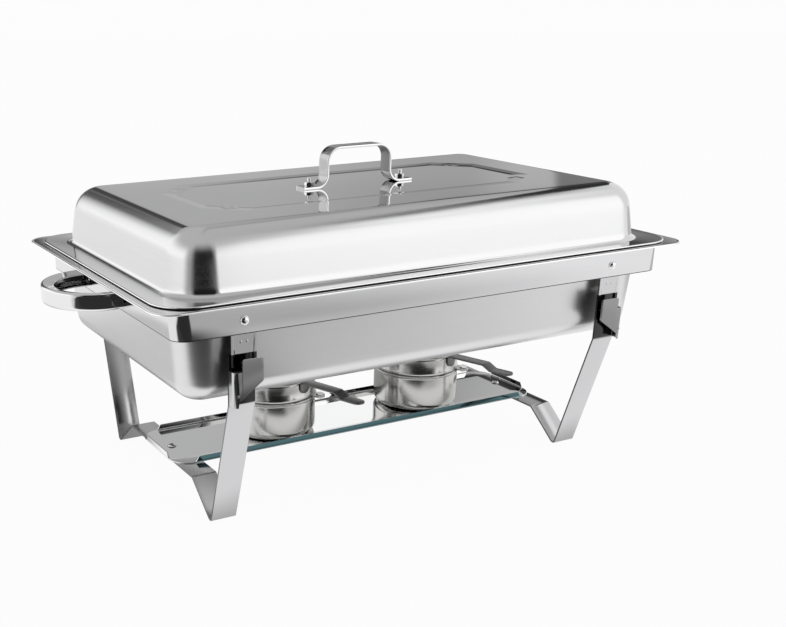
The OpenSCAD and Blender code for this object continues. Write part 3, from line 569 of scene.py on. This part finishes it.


# The grey inside the channel is painted shade.
loop_steel = steel("mirror_loop_steel", (0.82, 0.82, 0.82), 0.06, (120, 120, 500), 0.008, 0.04,
                   patches=[((0.30, 0.30, 0.30), channel_inside_shade)])
foot_run = np.linspace(-0.5, 0.5, 9) * LOOP_FOOT
foot_half = LOOP_FOOT_HIGH / 2 - np.array([0.8, 0.2, 0, 0, 0, 0, 0, 0.2, 0.8])
flat_rivet = [(0, 1.4), (1.6, 1.25), (2.8, 0.8), (3.4, 0.2), (3.5, 0), (2, 0), (2, -3.2), (0, -3.2)]
for side, name in SIDES:
    sweep = np.stack([side * (LOOP_X + along + section[:, 0] * ahead), section[:, 0] * aside,
                      LOOP_Z + section[:, 1] + 0 * ahead], -1)
    feet = []
    for row, word in ROWS:
        flat = foot_run[:, None] * (0, 1, 0) + (side * (LOOP_X + thin), row * LOOP_PIN_Y, LOOP_Z)
        feet.append(strip(flat, (0, 0, 1), -foot_half, foot_half, LOOP_THICK))
        head = turned(flat_rivet, (side * (LOOP_X + LOOP_THICK), row * LOOP_PIN_Y, LOOP_Z), (side, 0, 0), 32)
        piece(f"flat_rivet_{name}_{word}", [head], "frame", "fastener_steel", bolt_steel,
              f"handle_rivet_{name}_{word}")
    piece(f"loop_handle_{name}", [sweep, *feet], "frame", "handle_steel", loop_steel, f"side_handle_{name}")

# Fuel cups. Two open cups drawn from thin stainless stand on the shelf. The mouth is rolled into a bead, and
# a small ear with a rounded end holds the pivot rivet of the cover.

CUP_X, CUP_ROUND, CUP_HIGH, CUP_THICK, CUP_FILLET, BEAD = 92.0, 46.0, 40.0, 1.0, 8.0, 1.4
CUP_Z = SHELF_TOP + 0.3
BEAD_Z = CUP_Z + CUP_HIGH
EAR_TURN, EAR_REACH, EAR_ROUND, EAR_THICK, EAR_EASE = math.radians(-48), 53.0, 5.5, 1.2, 0.2


def bottom_corner(radius, low, fillet):
    """The rounded corner between a cup's floor and its wall, from the floor outwards."""
    return fillet * arc(-QUARTER, 0, 10) + (radius - fillet, low + fillet)


def swing(angle):
    """Turns rows of points about Z."""
    c, s = math.cos(angle), math.sin(angle)
    return np.array([[c, s, 0], [-s, c, 0], [0, 0, 1]])


def ear(centre, height, root):
    """A flat ear that points from the cup's middle to its pivot, with a round end: a short closed plate."""
    tip = EAR_ROUND * arc(QUARTER, -QUARTER, 17) + (EAR_REACH, 0)
    line = np.concatenate([[[root, EAR_ROUND]], tip, [[root, -EAR_ROUND]]])
    back = np.stack([np.full(len(line), (root + EAR_REACH) / 2), np.zeros(len(line))], -1)
    shrunk = line + EAR_EASE * unit(back - line)
    flat = np.stack([back, shrunk, line, line, shrunk, back]) @ swing(EAR_TURN)[:2, :2] + centre
    level = height + np.array([EAR_THICK, EAR_THICK, EAR_THICK - EAR_EASE, EAR_EASE, 0, 0])
    grid = np.concatenate([flat, np.broadcast_to(level[:, None, None], (6, len(line), 1))], -1)
    return np.concatenate([grid, grid[:, :1]], 1)


bead = BEAD * arc(-QUARTER, 1.05 * math.pi, 20) + (CUP_ROUND, BEAD_Z)
cup_in = CUP_ROUND - CUP_THICK
cup_profile = np.concatenate([
    [[0, CUP_Z], [20, CUP_Z]], bottom_corner(CUP_ROUND, CUP_Z, CUP_FILLET),
    [[CUP_ROUND, CUP_Z + 20], [CUP_ROUND, BEAD_Z - 3.2], [CUP_ROUND - 0.25, BEAD_Z - 2.2],
     [CUP_ROUND - 0.1, BEAD_Z - BEAD - 0.1]],
    bead, [[cup_in, BEAD_Z - 1]],
    bottom_corner(cup_in, CUP_Z + CUP_THICK, CUP_FILLET - CUP_THICK)[::-1],
    [[20, CUP_Z + CUP_THICK], [0, CUP_Z + CUP_THICK]],
])
cup_steel = steel("drawn_cup_steel", (0.56, 0.555, 0.545), 0.19, (60, 60, 260), 0.03, 0.07)
for side, name in SIDES:
    centre = (side * CUP_X, 0)
    cup = turned(cup_profile, (*centre, 0), (0, 0, 1), 128)
    piece(f"fuel_cup_shell_{name}", [cup, ear(centre, BEAD_Z + BEAD - EAR_THICK, CUP_ROUND)], f"fuel_{name}",
          "cup_steel", cup_steel, f"fuel_cup_{name}")

# Pivot rivets. A plain rivet with two flat heads holds each cover's ear over the ear of its cup, so that the
# cover can swing aside.

PIVOT_ROUND, PIVOT_HEAD, PIVOT_THICK, PIVOT_EASE, COVER_GAP = 2.0, 4.0, 1.0, 0.3, 0.4
COVER_Z = BEAD_Z + BEAD + COVER_GAP
low = BEAD_Z + BEAD - EAR_THICK
high = COVER_Z + EAR_THICK + 0.3
head = [(0, PIVOT_THICK), (PIVOT_HEAD - PIVOT_EASE, PIVOT_THICK), (PIVOT_HEAD, PIVOT_THICK - PIVOT_EASE),
        (PIVOT_HEAD, 0), (PIVOT_ROUND, 0)]
pivot = [(r, low - z) for r, z in head] + [(r, high + z) for r, z in head[::-1]]
for side, name in SIDES:
    spot = (side * CUP_X + EAR_REACH * math.cos(EAR_TURN), EAR_REACH * math.sin(EAR_TURN), 0)
    piece(f"pivot_rivet_{name}", [turned(pivot, spot, (0, 0, 1), 32)], f"fuel_{name}", "fastener_steel",
          bolt_steel, f"cover_pivot_{name}")

# Covers. A shallow drawn cap with a rounded top edge closes each cup and puts the flame out. Its rim has a
# fine rolled line, and an ear on it turns on the pivot rivet.

COVER_ROUND, COVER_HIGH, COVER_FILLET = 45.5, 20.0, 4.0
COVER_TOP = COVER_Z + COVER_HIGH
cover_in, down = COVER_ROUND - CUP_THICK, np.array([1, -1])
cover_profile = np.concatenate([
    [[0, COVER_TOP - 0.6], [30, COVER_TOP - 0.6], [33, COVER_TOP - 0.5], [34.5, COVER_TOP]],
    bottom_corner(COVER_ROUND, 0, COVER_FILLET) * down + (0, COVER_TOP),
    [[COVER_ROUND, COVER_Z + 3.4], [COVER_ROUND + 0.3, COVER_Z + 2.9], [COVER_ROUND + 0.5, COVER_Z + 1.8],
     [COVER_ROUND + 0.5, COVER_Z + 0.5], [COVER_ROUND + 0.3, COVER_Z], [COVER_ROUND - 0.8, COVER_Z],
     [cover_in, COVER_Z + 0.4]],
    bottom_corner(cover_in, 0, COVER_FILLET - CUP_THICK)[::-1] * down + (0, COVER_TOP - CUP_THICK),
    [[0, COVER_TOP - 1.4]],
])
for side, name in SIDES:
    centre = (side * CUP_X, 0)
    cap = turned(cover_profile, (*centre, 0), (0, 0, 1), 128)
    piece(f"cover_cap_{name}", [cap, ear(centre, COVER_Z, COVER_ROUND - 0.5)], f"cover_{name}", "cup_steel",
          cup_steel, f"cover_{name}")

# Cover arms. A flat arm of darker spring steel is bent down near its end; a half-round tab turned down at its
# root is spot-welded to the wall of the cover.

ARM_TURN, ARM_LONG, ARM_WIDE, ARM_THICK = math.radians(-71), 76.0, 14.0, 1.6
ARM_FLAT, ARM_DROP, ARM_BEND, TAB_HIGH = 44.0, 5.0, 9.0, 13.0
top = COVER_TOP - ARM_THICK / 2
root_x, end_x = COVER_ROUND + ARM_THICK / 2, COVER_ROUND + ARM_LONG
side_view = bent([
    (root_x, COVER_TOP - TAB_HIGH), (root_x, top), (COVER_ROUND + ARM_FLAT, top),
    (COVER_ROUND + ARM_FLAT + ARM_BEND, top - ARM_DROP), (end_x, top - ARM_DROP),
], (1.4, 4, 4), 8)
round_run = np.linspace(0.05, ARM_WIDE / 2, 9)[:, None]
arm_line = np.concatenate([side_view[0] + round_run * (0, 1), side_view[1:-1],
                           side_view[-1] - round_run[::-1] * (1, 0)])
to_root = np.where(arm_line[:, 0] < COVER_ROUND + ARM_THICK, arm_line[:, 1] - (COVER_TOP - TAB_HIGH), 99)
to_end = np.minimum(end_x - arm_line[:, 0], to_root)
arm_half = np.sqrt(np.clip((ARM_WIDE / 2) ** 2 - np.clip(ARM_WIDE / 2 - to_end, 0, None) ** 2, 0.09, None))
arm = strip(np.insert(arm_line, 1, 0, axis=1), (0, 1, 0), -arm_half, arm_half, ARM_THICK, 0.28)
arm_marks = [turned([(0, 0.3), (0.7, 0.22), (1.0, 0), (1.0, -0.4), (0, -0.4)],
                    (COVER_ROUND + ARM_THICK, y, COVER_TOP - 6.5), (1, 0, 0), 16) for y in (-2.2, 2.2)]
arm_steel = steel("spring_arm_steel", (0.15, 0.15, 0.15), 0.26, (300, 300, 300), 0.03, 0.08)
for side, name in SIDES:
    placed = [grid @ swing(ARM_TURN) + (side * CUP_X, 0, 0) for grid in (arm, *arm_marks)]
    piece(f"flat_arm_{name}", placed, f"cover_{name}", "cup_steel", arm_steel, f"cover_arm_{name}")

# Water pan. Deep-drawn satin stainless with a wide flat rim whose edge is folded under. The rim rests on the
# band and carries the food pan.

RIM_X, RIM_Y, RIM_ROUND, RIM_TOP = 293.0, 177.5, 22.0, 223.2
SHEET, HEM = 0.8, 0.9


def drawn_wall(mouth, depth, draft, fillet, lip, steps):
    """Half section of a drawn pan from the middle of its flat floor to its mouth, as distance from the
    corner's centre and height below the mouth. A fillet joins floor and leaning wall, and the arc of the lip
    turns into the rim."""
    lean = math.radians(draft)
    centre = mouth - (fillet + (depth - fillet) * math.sin(lean)) / math.cos(lean)
    low = fillet * arc(-QUARTER, -lean, steps) + (centre, fillet - depth)
    reach = lip * math.tan((QUARTER - lean) / 2)
    high = lip * arc(math.pi - lean, QUARTER, 8) + (mouth + reach, -lip)
    wall = low[-1] + np.linspace(0, 1, 7)[1:-1, None] * (high[0] - low[-1])
    return np.concatenate([[[0, -depth]], low, wall, high])


def edge_rows(half_x, half_y, radius, line):
    """The edge of a rim: each point of the line, as its place outwards and up from the rim's size, gives the
    half sizes, corner radius and height of one ring."""
    out, up = np.asarray(line, float).T
    return np.stack([half_x + out, half_y + out, radius + out, up], -1)


def drawn_pan(half_x, half_y, corner, depth, draft, fillet, lip, edge, fx, fy, turns=24, steps=(14, 14)):
    """A drawn sheet with its mouth at height 0: the outside from the floor to the rim, the rim's edge, then
    the inside back to the floor. Distances from a corner's centre become rounded rectangles that share it."""
    core_x, core_y = half_x - corner, half_y - corner
    inner_corner = corner - SHEET / math.cos(math.radians(draft))
    outer = drawn_wall(corner, depth - SHEET, draft, fillet, lip, steps[0]) - (0, SHEET)
    inner = drawn_wall(inner_corner, depth - SHEET, draft, fillet - SHEET, lip + SHEET, steps[1])
    walls = [edge_rows(core_x, core_y, 0, part) for part in (outer, inner[::-1])]
    shell = rings(walk(fx, fy, turns), *np.concatenate([walls[0], edge, walls[1]]).T)
    return [shell, *(plate_patch(fx, fy, core_x, core_y, part[0, 1]) for part in (outer, inner))]


pan_x, pan_y = np.linspace(-1, 1, 25), np.linspace(-1, 1, 13)
roll = HEM * arc(-0.4 * math.pi, 0.7 * math.pi, 12) - HEM
hem = edge_rows(RIM_X, RIM_Y, RIM_ROUND, [(-4, -SHEET), (-3.8, -2 * HEM), *roll, (-3, 0)])


def from_edge(x, y, half_x, half_y, radius):
    """Distance outwards from the edge of a rounded rectangle, good outside its corners' centres."""
    over_x = (abs(x) - (half_x - radius)).larger(0.0)
    over_y = (abs(y) - (half_y - radius)).larger(0.0)
    return (over_x * over_x + over_y * over_y).root() - radius


def rim_edge_highlight(x, y, z):
    """A painted highlight on the folded edge of the rim."""
    return ramp(from_edge(x, y, RIM_X, RIM_Y, RIM_ROUND), -2.5, -2.1) * ramp(z, RIM_TOP - 3, RIM_TOP - 2.5)


def satin_wall(x, y, z):
    """Roughness that the walls have and the polished rim lacks."""
    return ramp(z, RIM_TOP - 12, RIM_TOP - 3, 0.19, 0.0)


# The near-white on the rim's folded edge is a painted highlight.
pan_steel = steel("satin_pan_steel", (0.74, 0.74, 0.74), 0.10, (5, 5, 420), 0.05, 0.06,
                  patches=[((0.96, 0.96, 0.96), rim_edge_highlight)], satin=satin_wall)
water_pan = drawn_pan(263.4, 154.8, corner=32.0, depth=94.5, draft=4.5, fillet=21.0, lip=2.0, edge=hem,
                      fx=pan_x, fy=pan_y)
piece("water_pan_shell", [grid + (0, 0, RIM_TOP) for grid in water_pan], "water_pan", "pan_steel", pan_steel,
      "water_pan")

# Food pan. The full-size catering pan, drawn from the same satin sheet, hangs by its flat rim in the mouth of
# the water pan.

FOOD_TOP, FOOD_RIM_X, FOOD_RIM_Y, FOOD_RIM_ROUND = 224.3, 265.0, 162.5, 26.0
brim = edge_rows(FOOD_RIM_X, FOOD_RIM_Y, FOOD_RIM_ROUND, SHEET / 2 * (arc(-QUARTER, QUARTER, 7) - 1))
food_pan = drawn_pan(254.0, 151.5, corner=46.0, depth=65.0, draft=6.0, fillet=15.0, lip=1.2, edge=brim,
                     fx=pan_x, fy=pan_y)
piece("food_pan_shell", [grid + (0, 0, FOOD_TOP) for grid in food_pan], "food_pan", "pan_steel", pan_steel,
      "food_pan")

# Lid. Drawn from stainless sheet: satin leaning walls, a large rounded shoulder, and a polished top with a
# pressed panel whose border slopes down and whose corners are cut. The flat rim ends in a small turned-down
# edge.

LID_LOW, LID_HIGH, LID_X, LID_Y, LID_ROUND = 224.6, 56.4, 262.0, 152.3, 39.0
LID_RIM_X, LID_RIM_Y, LID_RIM_ROUND, LID_LIP = 284.0, 171.0, 34.0, 0.9
LID_TOP = LID_LOW + LID_HIGH
PANEL_X, PANEL_Y, PANEL_SINK, PANEL_BORDER, PANEL_LIP = 192.0, 80.0, 0.78, 15.0, 5.0
CUT_SUM, CUT_SHARE = 238.0, 0.54
TAB_X, TAB_Y, TAB_HALF, TAB_EDGE, TAB_SINK = 166.0, 55.0, 7.0, 1.5, 0.2


def panel_lines(half, core, tab):
    """Shares of the lid's flat middle at which a grid line is needed: close by the bends of the sloping
    border, round a tab, and densely where the panel's corners are cut."""
    bends = np.array([half, half - PANEL_BORDER + PANEL_LIP, half - PANEL_BORDER])
    bends = np.add.outer(bends, (-0.3, 0.3)).ravel()
    sides = tab + np.array([-TAB_HALF, TAB_EDGE - TAB_HALF, TAB_HALF - TAB_EDGE, TAB_HALF])
    corner = np.arange(tab - 38, half + 4, 2.5)
    lines = np.concatenate([bends, sides, corner])
    lines = np.concatenate([lines, -lines, np.linspace(-core, core, 17)])
    return np.clip(np.unique(lines.round(1)) / core, -1, 1)


def panel_depth(x, y):
    """The pressed panel, with a small square tab in each cut corner. Its border slopes down from an octagon,
    steeper at the last, to a flat middle. A point lies as far in as the least of its distances to the ends,
    the sides and, scaled so that the border is wider there, the cut corners."""
    along, across = np.abs(x), np.abs(y)
    far = np.minimum(np.minimum(PANEL_X - along, PANEL_Y - across), (CUT_SUM - along - across) * CUT_SHARE)
    tab = TAB_HALF - np.maximum(np.abs(along - TAB_X), np.abs(across - TAB_Y))
    border = np.interp(far, [0, PANEL_BORDER - PANEL_LIP, PANEL_BORDER], [0, 0.5, 1])
    return -PANEL_SINK * border - TAB_SINK * np.clip(tab / TAB_EDGE, 0, 1)


lid_x = panel_lines(PANEL_X, LID_X - LID_ROUND, TAB_X)
lid_y = panel_lines(PANEL_Y, LID_Y - LID_ROUND, TAB_Y)
lip = LID_LIP * arc(-QUARTER, QUARTER, 9) + (-LID_LIP, 0.1)
lid_edge = edge_rows(LID_RIM_X, LID_RIM_Y, LID_RIM_ROUND, [(-2.4, -SHEET), *lip, (-2.4, 0)])
lid_grids = drawn_pan(LID_X, LID_Y, LID_ROUND, LID_HIGH, draft=9.0, fillet=28.0, lip=5.8, edge=lid_edge,
                      fx=lid_x, fy=lid_y, turns=28, steps=(26, 20))
for grid in lid_grids:
    grid[..., 2] = LID_LOW - grid[..., 2]
for grid in lid_grids[1:]:
    grid[..., 2] += panel_depth(grid[..., 0], grid[..., 1])


def brushed_wall(x, y, z):
    """Roughness that the walls have and the polished rim and top lack."""
    return between(z, LID_LOW + 9, LID_TOP - 5, 4) * 0.13


def turned_rim_highlight(x, y, z):
    """A painted highlight on the small turned edge of the lid's rim."""
    outer = ramp(from_edge(x, y, LID_RIM_X, LID_RIM_Y, LID_RIM_ROUND), -1.9, -1.5)
    return outer * fall(z, LID_LOW + 2, LID_LOW + 3)


def rim_under_shade(x, y, z):
    """Painted shade on the underside of the turned edge, which faces the dark gap above the pan's rim."""
    return turned_rim_highlight(x, y, z) * fall(z, LID_LOW - 0.4, LID_LOW)


# The near-white on the lid's turned edge is a painted highlight, and the near-black under it is painted
# shade.
lid_steel = steel("polished_lid_steel", (0.74, 0.74, 0.745), 0.06, (4, 4, 320), 0.03, 0.03,
                  patches=[((0.96, 0.96, 0.96), turned_rim_highlight), ((0.08, 0.08, 0.08), rim_under_shade)],
                  satin=brushed_wall)
piece("lid_shell", lid_grids, "lid", "lid_steel", lid_steel, "lid")

# Lid handle. One flat strip of polished stainless, bent up and over like a bracket, with its two feet turned
# outwards on the lid.

GRIP_WIDE, GRIP_THICK, GRIP_HIGH, GRIP_SPAN, GRIP_X = 17.0, 2.4, 40.0, 74.0, 4.6
GRIP_Z = LID_TOP - PANEL_SINK
GRIP_BEND, FOOT_BEND, FOOT_LONG = 14.0, 12.0, 15.0
half, thin = GRIP_SPAN / 2, GRIP_THICK / 2
grip = [(half + FOOT_BEND + FOOT_LONG, thin), (half, thin), (half, GRIP_HIGH - thin)]
grip = bent(grip + [(-x, z) for x, z in grip[::-1]], (FOOT_BEND, GRIP_BEND, GRIP_BEND, FOOT_BEND), 14)
grip = np.insert(grip, 1, 0, axis=1) + (GRIP_X, 0, GRIP_Z)


def darker_flat_face(x, y, z):
    """The flat faces of the strip, which are darker than its edges."""
    return between(y, 0.8 - GRIP_WIDE / 2, GRIP_WIDE / 2 - 0.8, 0.3)


def bracket_inside_shade(x, y, z):
    """Painted shade on the inside of the bracket: within both uprights and under the bar."""
    inside = between(x, GRIP_X - half + thin - 0.3, GRIP_X + half - thin + 0.3, 0.2)
    return darker_flat_face(x, y, z) * inside * fall(z, GRIP_Z + GRIP_HIGH - 1.5, GRIP_Z + GRIP_HIGH - 0.5)


# The dark grey inside the bracket is painted shade.
grip_steel = steel("polished_grip_steel", (0.92, 0.92, 0.92), 0.08, (400, 14, 400), 0.01, 0.04,
                   patches=[((0.50, 0.50, 0.50), darker_flat_face), ((0.20, 0.20, 0.20), bracket_inside_shade)])
piece("grip_strip", [strip(grip, (0, 1, 0), -GRIP_WIDE / 2, GRIP_WIDE / 2, GRIP_THICK, 0.7)], "lid",
      "handle_steel", grip_steel, "lid_handle")

# Lid bolts and nuts. A bolt comes up from inside the lid through each foot of the handle; a hexagon nut with
# chamfered corners holds it, and the threaded end stands out.

BOLT_X, BOLT_ROUND, BOLT_HEAD, BOLT_HEAD_HIGH, BOLT_OUT = 54.4, 2.5, 5.0, 2.0, 5.0
NUT_FLATS, NUT_HIGH, NUT_EASE, PITCH, THREAD = 4.0, 4.0, 0.5, 0.8, 0.35
under, seat = GRIP_Z - SHEET, GRIP_Z + GRIP_THICK
tip = seat + NUT_HIGH + BOLT_OUT


def hexagon_nut(x):
    """A hexagon ring: its outer radius follows the six flats round, cut back by a cone at top and bottom."""
    angle = np.linspace(0, 2 * math.pi, 73)
    sector = np.mod(angle + math.pi / 6, math.pi / 3) - math.pi / 6
    hexed, bore = NUT_FLATS / np.cos(sector), np.full(73, BOLT_ROUND)
    cone = np.minimum(hexed, NUT_FLATS * 1.02)
    outer = np.stack([bore, cone, hexed, hexed, cone, bore])
    level = np.array([0, 0, NUT_EASE, NUT_HIGH - NUT_EASE, NUT_HIGH, NUT_HIGH])
    return np.stack([x + outer * np.cos(angle), outer * np.sin(angle), seat + level[:, None] + 0 * outer], -1)


turns = np.arange(seat + NUT_HIGH - 1, tip - 0.8, PITCH / 2)
thread = np.stack([np.where(np.arange(len(turns)) % 2, BOLT_ROUND - THREAD, BOLT_ROUND), turns], -1)
rod = np.concatenate([
    [[0, under - BOLT_HEAD_HIGH], [BOLT_HEAD - 0.8, under - BOLT_HEAD_HIGH], [BOLT_HEAD, under - 1.0],
     [BOLT_HEAD, under], [BOLT_ROUND, under]], thread,
    [[BOLT_ROUND - THREAD, tip - 0.7], [BOLT_ROUND - 0.9, tip - 0.1], [BOLT_ROUND - 1.4, tip], [0, tip]]])
for side, name in SIDES:
    x = GRIP_X + side * BOLT_X
    piece(f"grip_bolt_{name}", [turned(rod, (x, 0, 0), (0, 0, 1), 32)], "lid", "fastener_steel", bolt_steel,
          f"lid_bolt_{name}")
    piece(f"grip_nut_{name}", [hexagon_nut(x)], "lid", "fastener_steel", bolt_steel, f"lid_nut_{name}",
          crease=25)

# Floor and light. A white floor that keeps the soft shadow, and a far white wall. The studio that the steel
# mirrors has one large soft window on the right, a bright left side, a grey back with dark gaps, and a dark
# side and cloth in front.


def staged(name, points, faces, material):
    """A mesh of the studio, which isn't part of the object."""
    mesh = bpy.data.meshes.new(name)
    mesh.from_pydata(points, [], faces)
    mesh.materials.append(material)
    made = bpy.data.objects.new(name, mesh)
    bpy.context.scene.collection.objects.link(made)
    return made


def glowing(name, tint, strength=1.0):
    """A material that only shines, in the tone that the function tint gives for x and y."""
    material = bpy.data.materials.new(name)
    start = emptied(material)
    x, y, _ = start.node("TexCoord", out="Object").parts()
    glow = start.node("Emission", inputs={"Color": tint(x, y), "Strength": strength})
    start.node("OutputMaterial", inputs={"Surface": glow})
    return material


def white(x, y):
    """The same white everywhere."""
    return (1, 1, 1, 1)


FLOOR, FLOOR_Z, FLOOR_GLOW = 400.0, -0.0004, 0.95
floor_white = bpy.data.materials.new("floor_white")
start = emptied(floor_white)
camera_ray, glossy_ray, clear_ray = (start.node("LightPath", out=f"Is {kind} Ray")
                                     for kind in ("Camera", "Glossy", "Transmission"))
seen = (camera_ray + glossy_ray + clear_ray).smaller(1.0)
matt = start.node("BsdfDiffuse", inputs={"Color": (0.9, 0.9, 0.9, 1)})
glow = start.node("Emission", inputs={"Color": white(0, 0), "Strength": 1.0})
both = start.node("MixShader", inputs={0: seen * FLOOR_GLOW, 1: matt, 2: glow})
start.node("OutputMaterial", inputs={"Surface": both})
staged("floor", [(x * FLOOR, y * FLOOR, FLOOR_Z) for x, y in ((-1, -1), (1, -1), (1, 1), (-1, 1))],
       [(0, 1, 2, 3)], floor_white)

WALL, WALL_SIDES = 12.0, 48
wall_foot = np.insert(WALL * arc(0, 2 * math.pi, WALL_SIDES + 1)[:-1], 2, 0, axis=1)
first = np.arange(WALL_SIDES)
second = np.roll(first, -1)
wall = staged("white_wall", np.concatenate([wall_foot, wall_foot + (0, 0, WALL)]).tolist(),
              np.stack([first, second, second + WALL_SIDES, first + WALL_SIDES], -1).tolist(),
              glowing("wall_white", white, 0.98))
wall.visible_glossy = wall.visible_diffuse = wall.visible_transmission = wall.visible_shadow = False

# The world is painted by bearing and height in degrees: turn runs from the front to the right, back from the
# back to the right. side tells how far a direction lies towards the window.
world = bpy.data.worlds.new("studio")
bpy.context.scene.world = world
start = emptied(world)
x, y, z = start.node("TexCoord", out="Generated").parts()
turn = start.math("ARCTAN2", x, 0.0 - y) * math.degrees(1)
back = start.math("ARCTAN2", x, y) * math.degrees(1)
rise = start.math("ARCSINE", z) * math.degrees(1)
side = x * 0.968 - y * 0.245 - z * 0.048
# The window is brighter low down and to the front, with a light patch high on its right.
window = 0.60 + ramp(rise, 38, 60, 0.28, 0.0) + between(turn, 18, 60, 14) * ramp(rise, 34, 62, 0.42, 0.0)
window = window + between(turn, 62, 92, 12) * between(rise, 50, 64, 6) * 0.45
# The grey back lightens upwards. A dark beam hangs at its right end, and the left side is bright.
grey = 0.46 + ramp(rise, 22, 50, 0.0, 0.10) - ramp(rise, 3, 7.5, 0.16, 0.0)
grey = grey + between(rise, 7, 8.6, 0.8) * 0.05
grey = grey * (ramp(back, 27, 37, 1.0, 0.79) + ramp(back, 38, 41, 0.0, 0.18))
lift = rise + ramp(back, 34, 38, 0.0, 1.6)
beam = ramp(back, 23, 31) * fall(back, 46, 49) * ramp(lift, 11.3, 12.8) * fall(rise, 17.2, 18.4)
grey = grey * (1.0 - beam * (ramp(lift, 13.5, 16, 0.25, 0.62) + ramp(back, 35.5, 38, 0.0, 0.28)))
left = ramp(turn, -60, -80) * fall(back, -20, -8)
grey = grey + left * ramp(rise, 18, 50, 0.75, 0.0)
# Where back and window meet there is a dark slit. Two flags stand at the back, and the front is dark.
EDGE = 0.515
inside = ramp(side, EDGE, 0.57)
shade = grey * (1.0 - inside) + window * inside
gap = 0.035 + ramp(rise, 12, 34, 0.020, 0.0)
slit = (1.0 - ramp(abs(side - EDGE) - gap, -0.004, 0.004)) * fall(back, 94, 112) * ramp(back, 28, 40)
shade = shade * (1.0 - slit * ramp(rise, 10, 26, 0.57, 0.93))
flags = between(back, -6, 15, 3) * between(rise, 9, 25, 3) - between(back, 5, 8, 2) * 0.2
shade = shade * (1.0 - flags.larger(0.0) * 0.85)
dark = between(turn, -42, 8, 16) * fall(rise, 24, 68)
shade = shade * (1.0 - dark * 0.97)
lit = start.node("Background", inputs={"Color": shade, "Strength": 1.0})
start.node("OutputWorld", inputs={"Surface": lit})


def studio_card(name, corners, tint):
    """A flat card that only reflections show: four corners and the function of x and y that lights it."""
    card = staged(name, corners, [(0, 1, 2, 3)], glowing(name, tint))
    card.visible_camera = card.visible_diffuse = card.visible_shadow = False


def cloth_tone(x, y):
    """A dark cloth in front that thins out to the right, the stand's own shade, a grey patch behind on the
    left and a grey strip on the right."""
    fan = x.math("DIVIDE", x, 0.5 - y)
    front = between(fan, -1.1, -0.11, 0.12) * 0.59
    front = front + between(fan, -1.1, 0.10, 0.60) * ramp(y, -0.66, -0.46, 0.50, 0.36)
    front = front.smaller(0.97) * fall(y, -0.34, -0.24)
    shade = between(x, -0.22, 0.22, 0.06) * between(y, -0.10, 0.36, 0.05) * 0.6
    corner = between(x, -0.50, -0.26, 0.15) * between(y, 0.20, 0.45, 0.15) * 0.35
    right = ramp(x, 0.65, 0.90) * between(y, -0.30, 0.60, 0.15) * 0.45
    return 1.0 - front - shade - corner - right


studio_card("card_cloth", [(-45, -40, 0.001), (28, -40, 0.001), (28, 1, 0.001), (-45, 1, 0.001)], cloth_tone)
studio_card("card_white", [(0.09, 0.34, 0.12), (0.35, 0.34, 0.12), (0.35, 0.34, 0.26), (0.09, 0.34, 0.26)],
            white)

# Camera. It stands left of the front, a little above the lid, and sees the whole warmer in the middle of a
# wide frame. The middle of the frame isn't the middle of the lens, so the lens is shifted.

YAW, PITCH_DOWN, ROLL = math.radians(26.06), math.radians(-21.37), math.radians(-0.79)
FOCUS, MID_U, MID_V, FRAME_U, FRAME_V, SENSOR = 1120.98, 225.51, 428.2, 786, 627, 36
flat_u, flat_v = math.sin(YAW), math.cos(YAW)
ahead = np.array([flat_u * math.cos(PITCH_DOWN), flat_v * math.cos(PITCH_DOWN), math.sin(PITCH_DOWN)])
level = np.array([flat_v, -flat_u, 0])
over = np.cross(level, ahead)
right = level * math.cos(ROLL) + over * math.sin(ROLL)
up = over * math.cos(ROLL) - level * math.sin(ROLL)
stand = np.eye(4)
stand[:3, :3] = np.stack([right, up, -ahead], -1)
stand[:3, 3] = (-0.6258, -0.9801, 0.46698)
lens = bpy.data.cameras.new("camera")
lens.sensor_fit = "HORIZONTAL"
lens.sensor_width = SENSOR
lens.lens = FOCUS / FRAME_U * SENSOR
lens.shift_x = (FRAME_U / 2 - MID_U) / FRAME_U
lens.shift_y = (MID_V - FRAME_V / 2) / FRAME_U
camera = bpy.data.objects.new("camera", lens)
camera.matrix_world = Matrix(stand.tolist())
bpy.context.scene.collection.objects.link(camera)
bpy.context.scene.camera = camera
bpy.context.scene.view_settings.view_transform = "Standard"
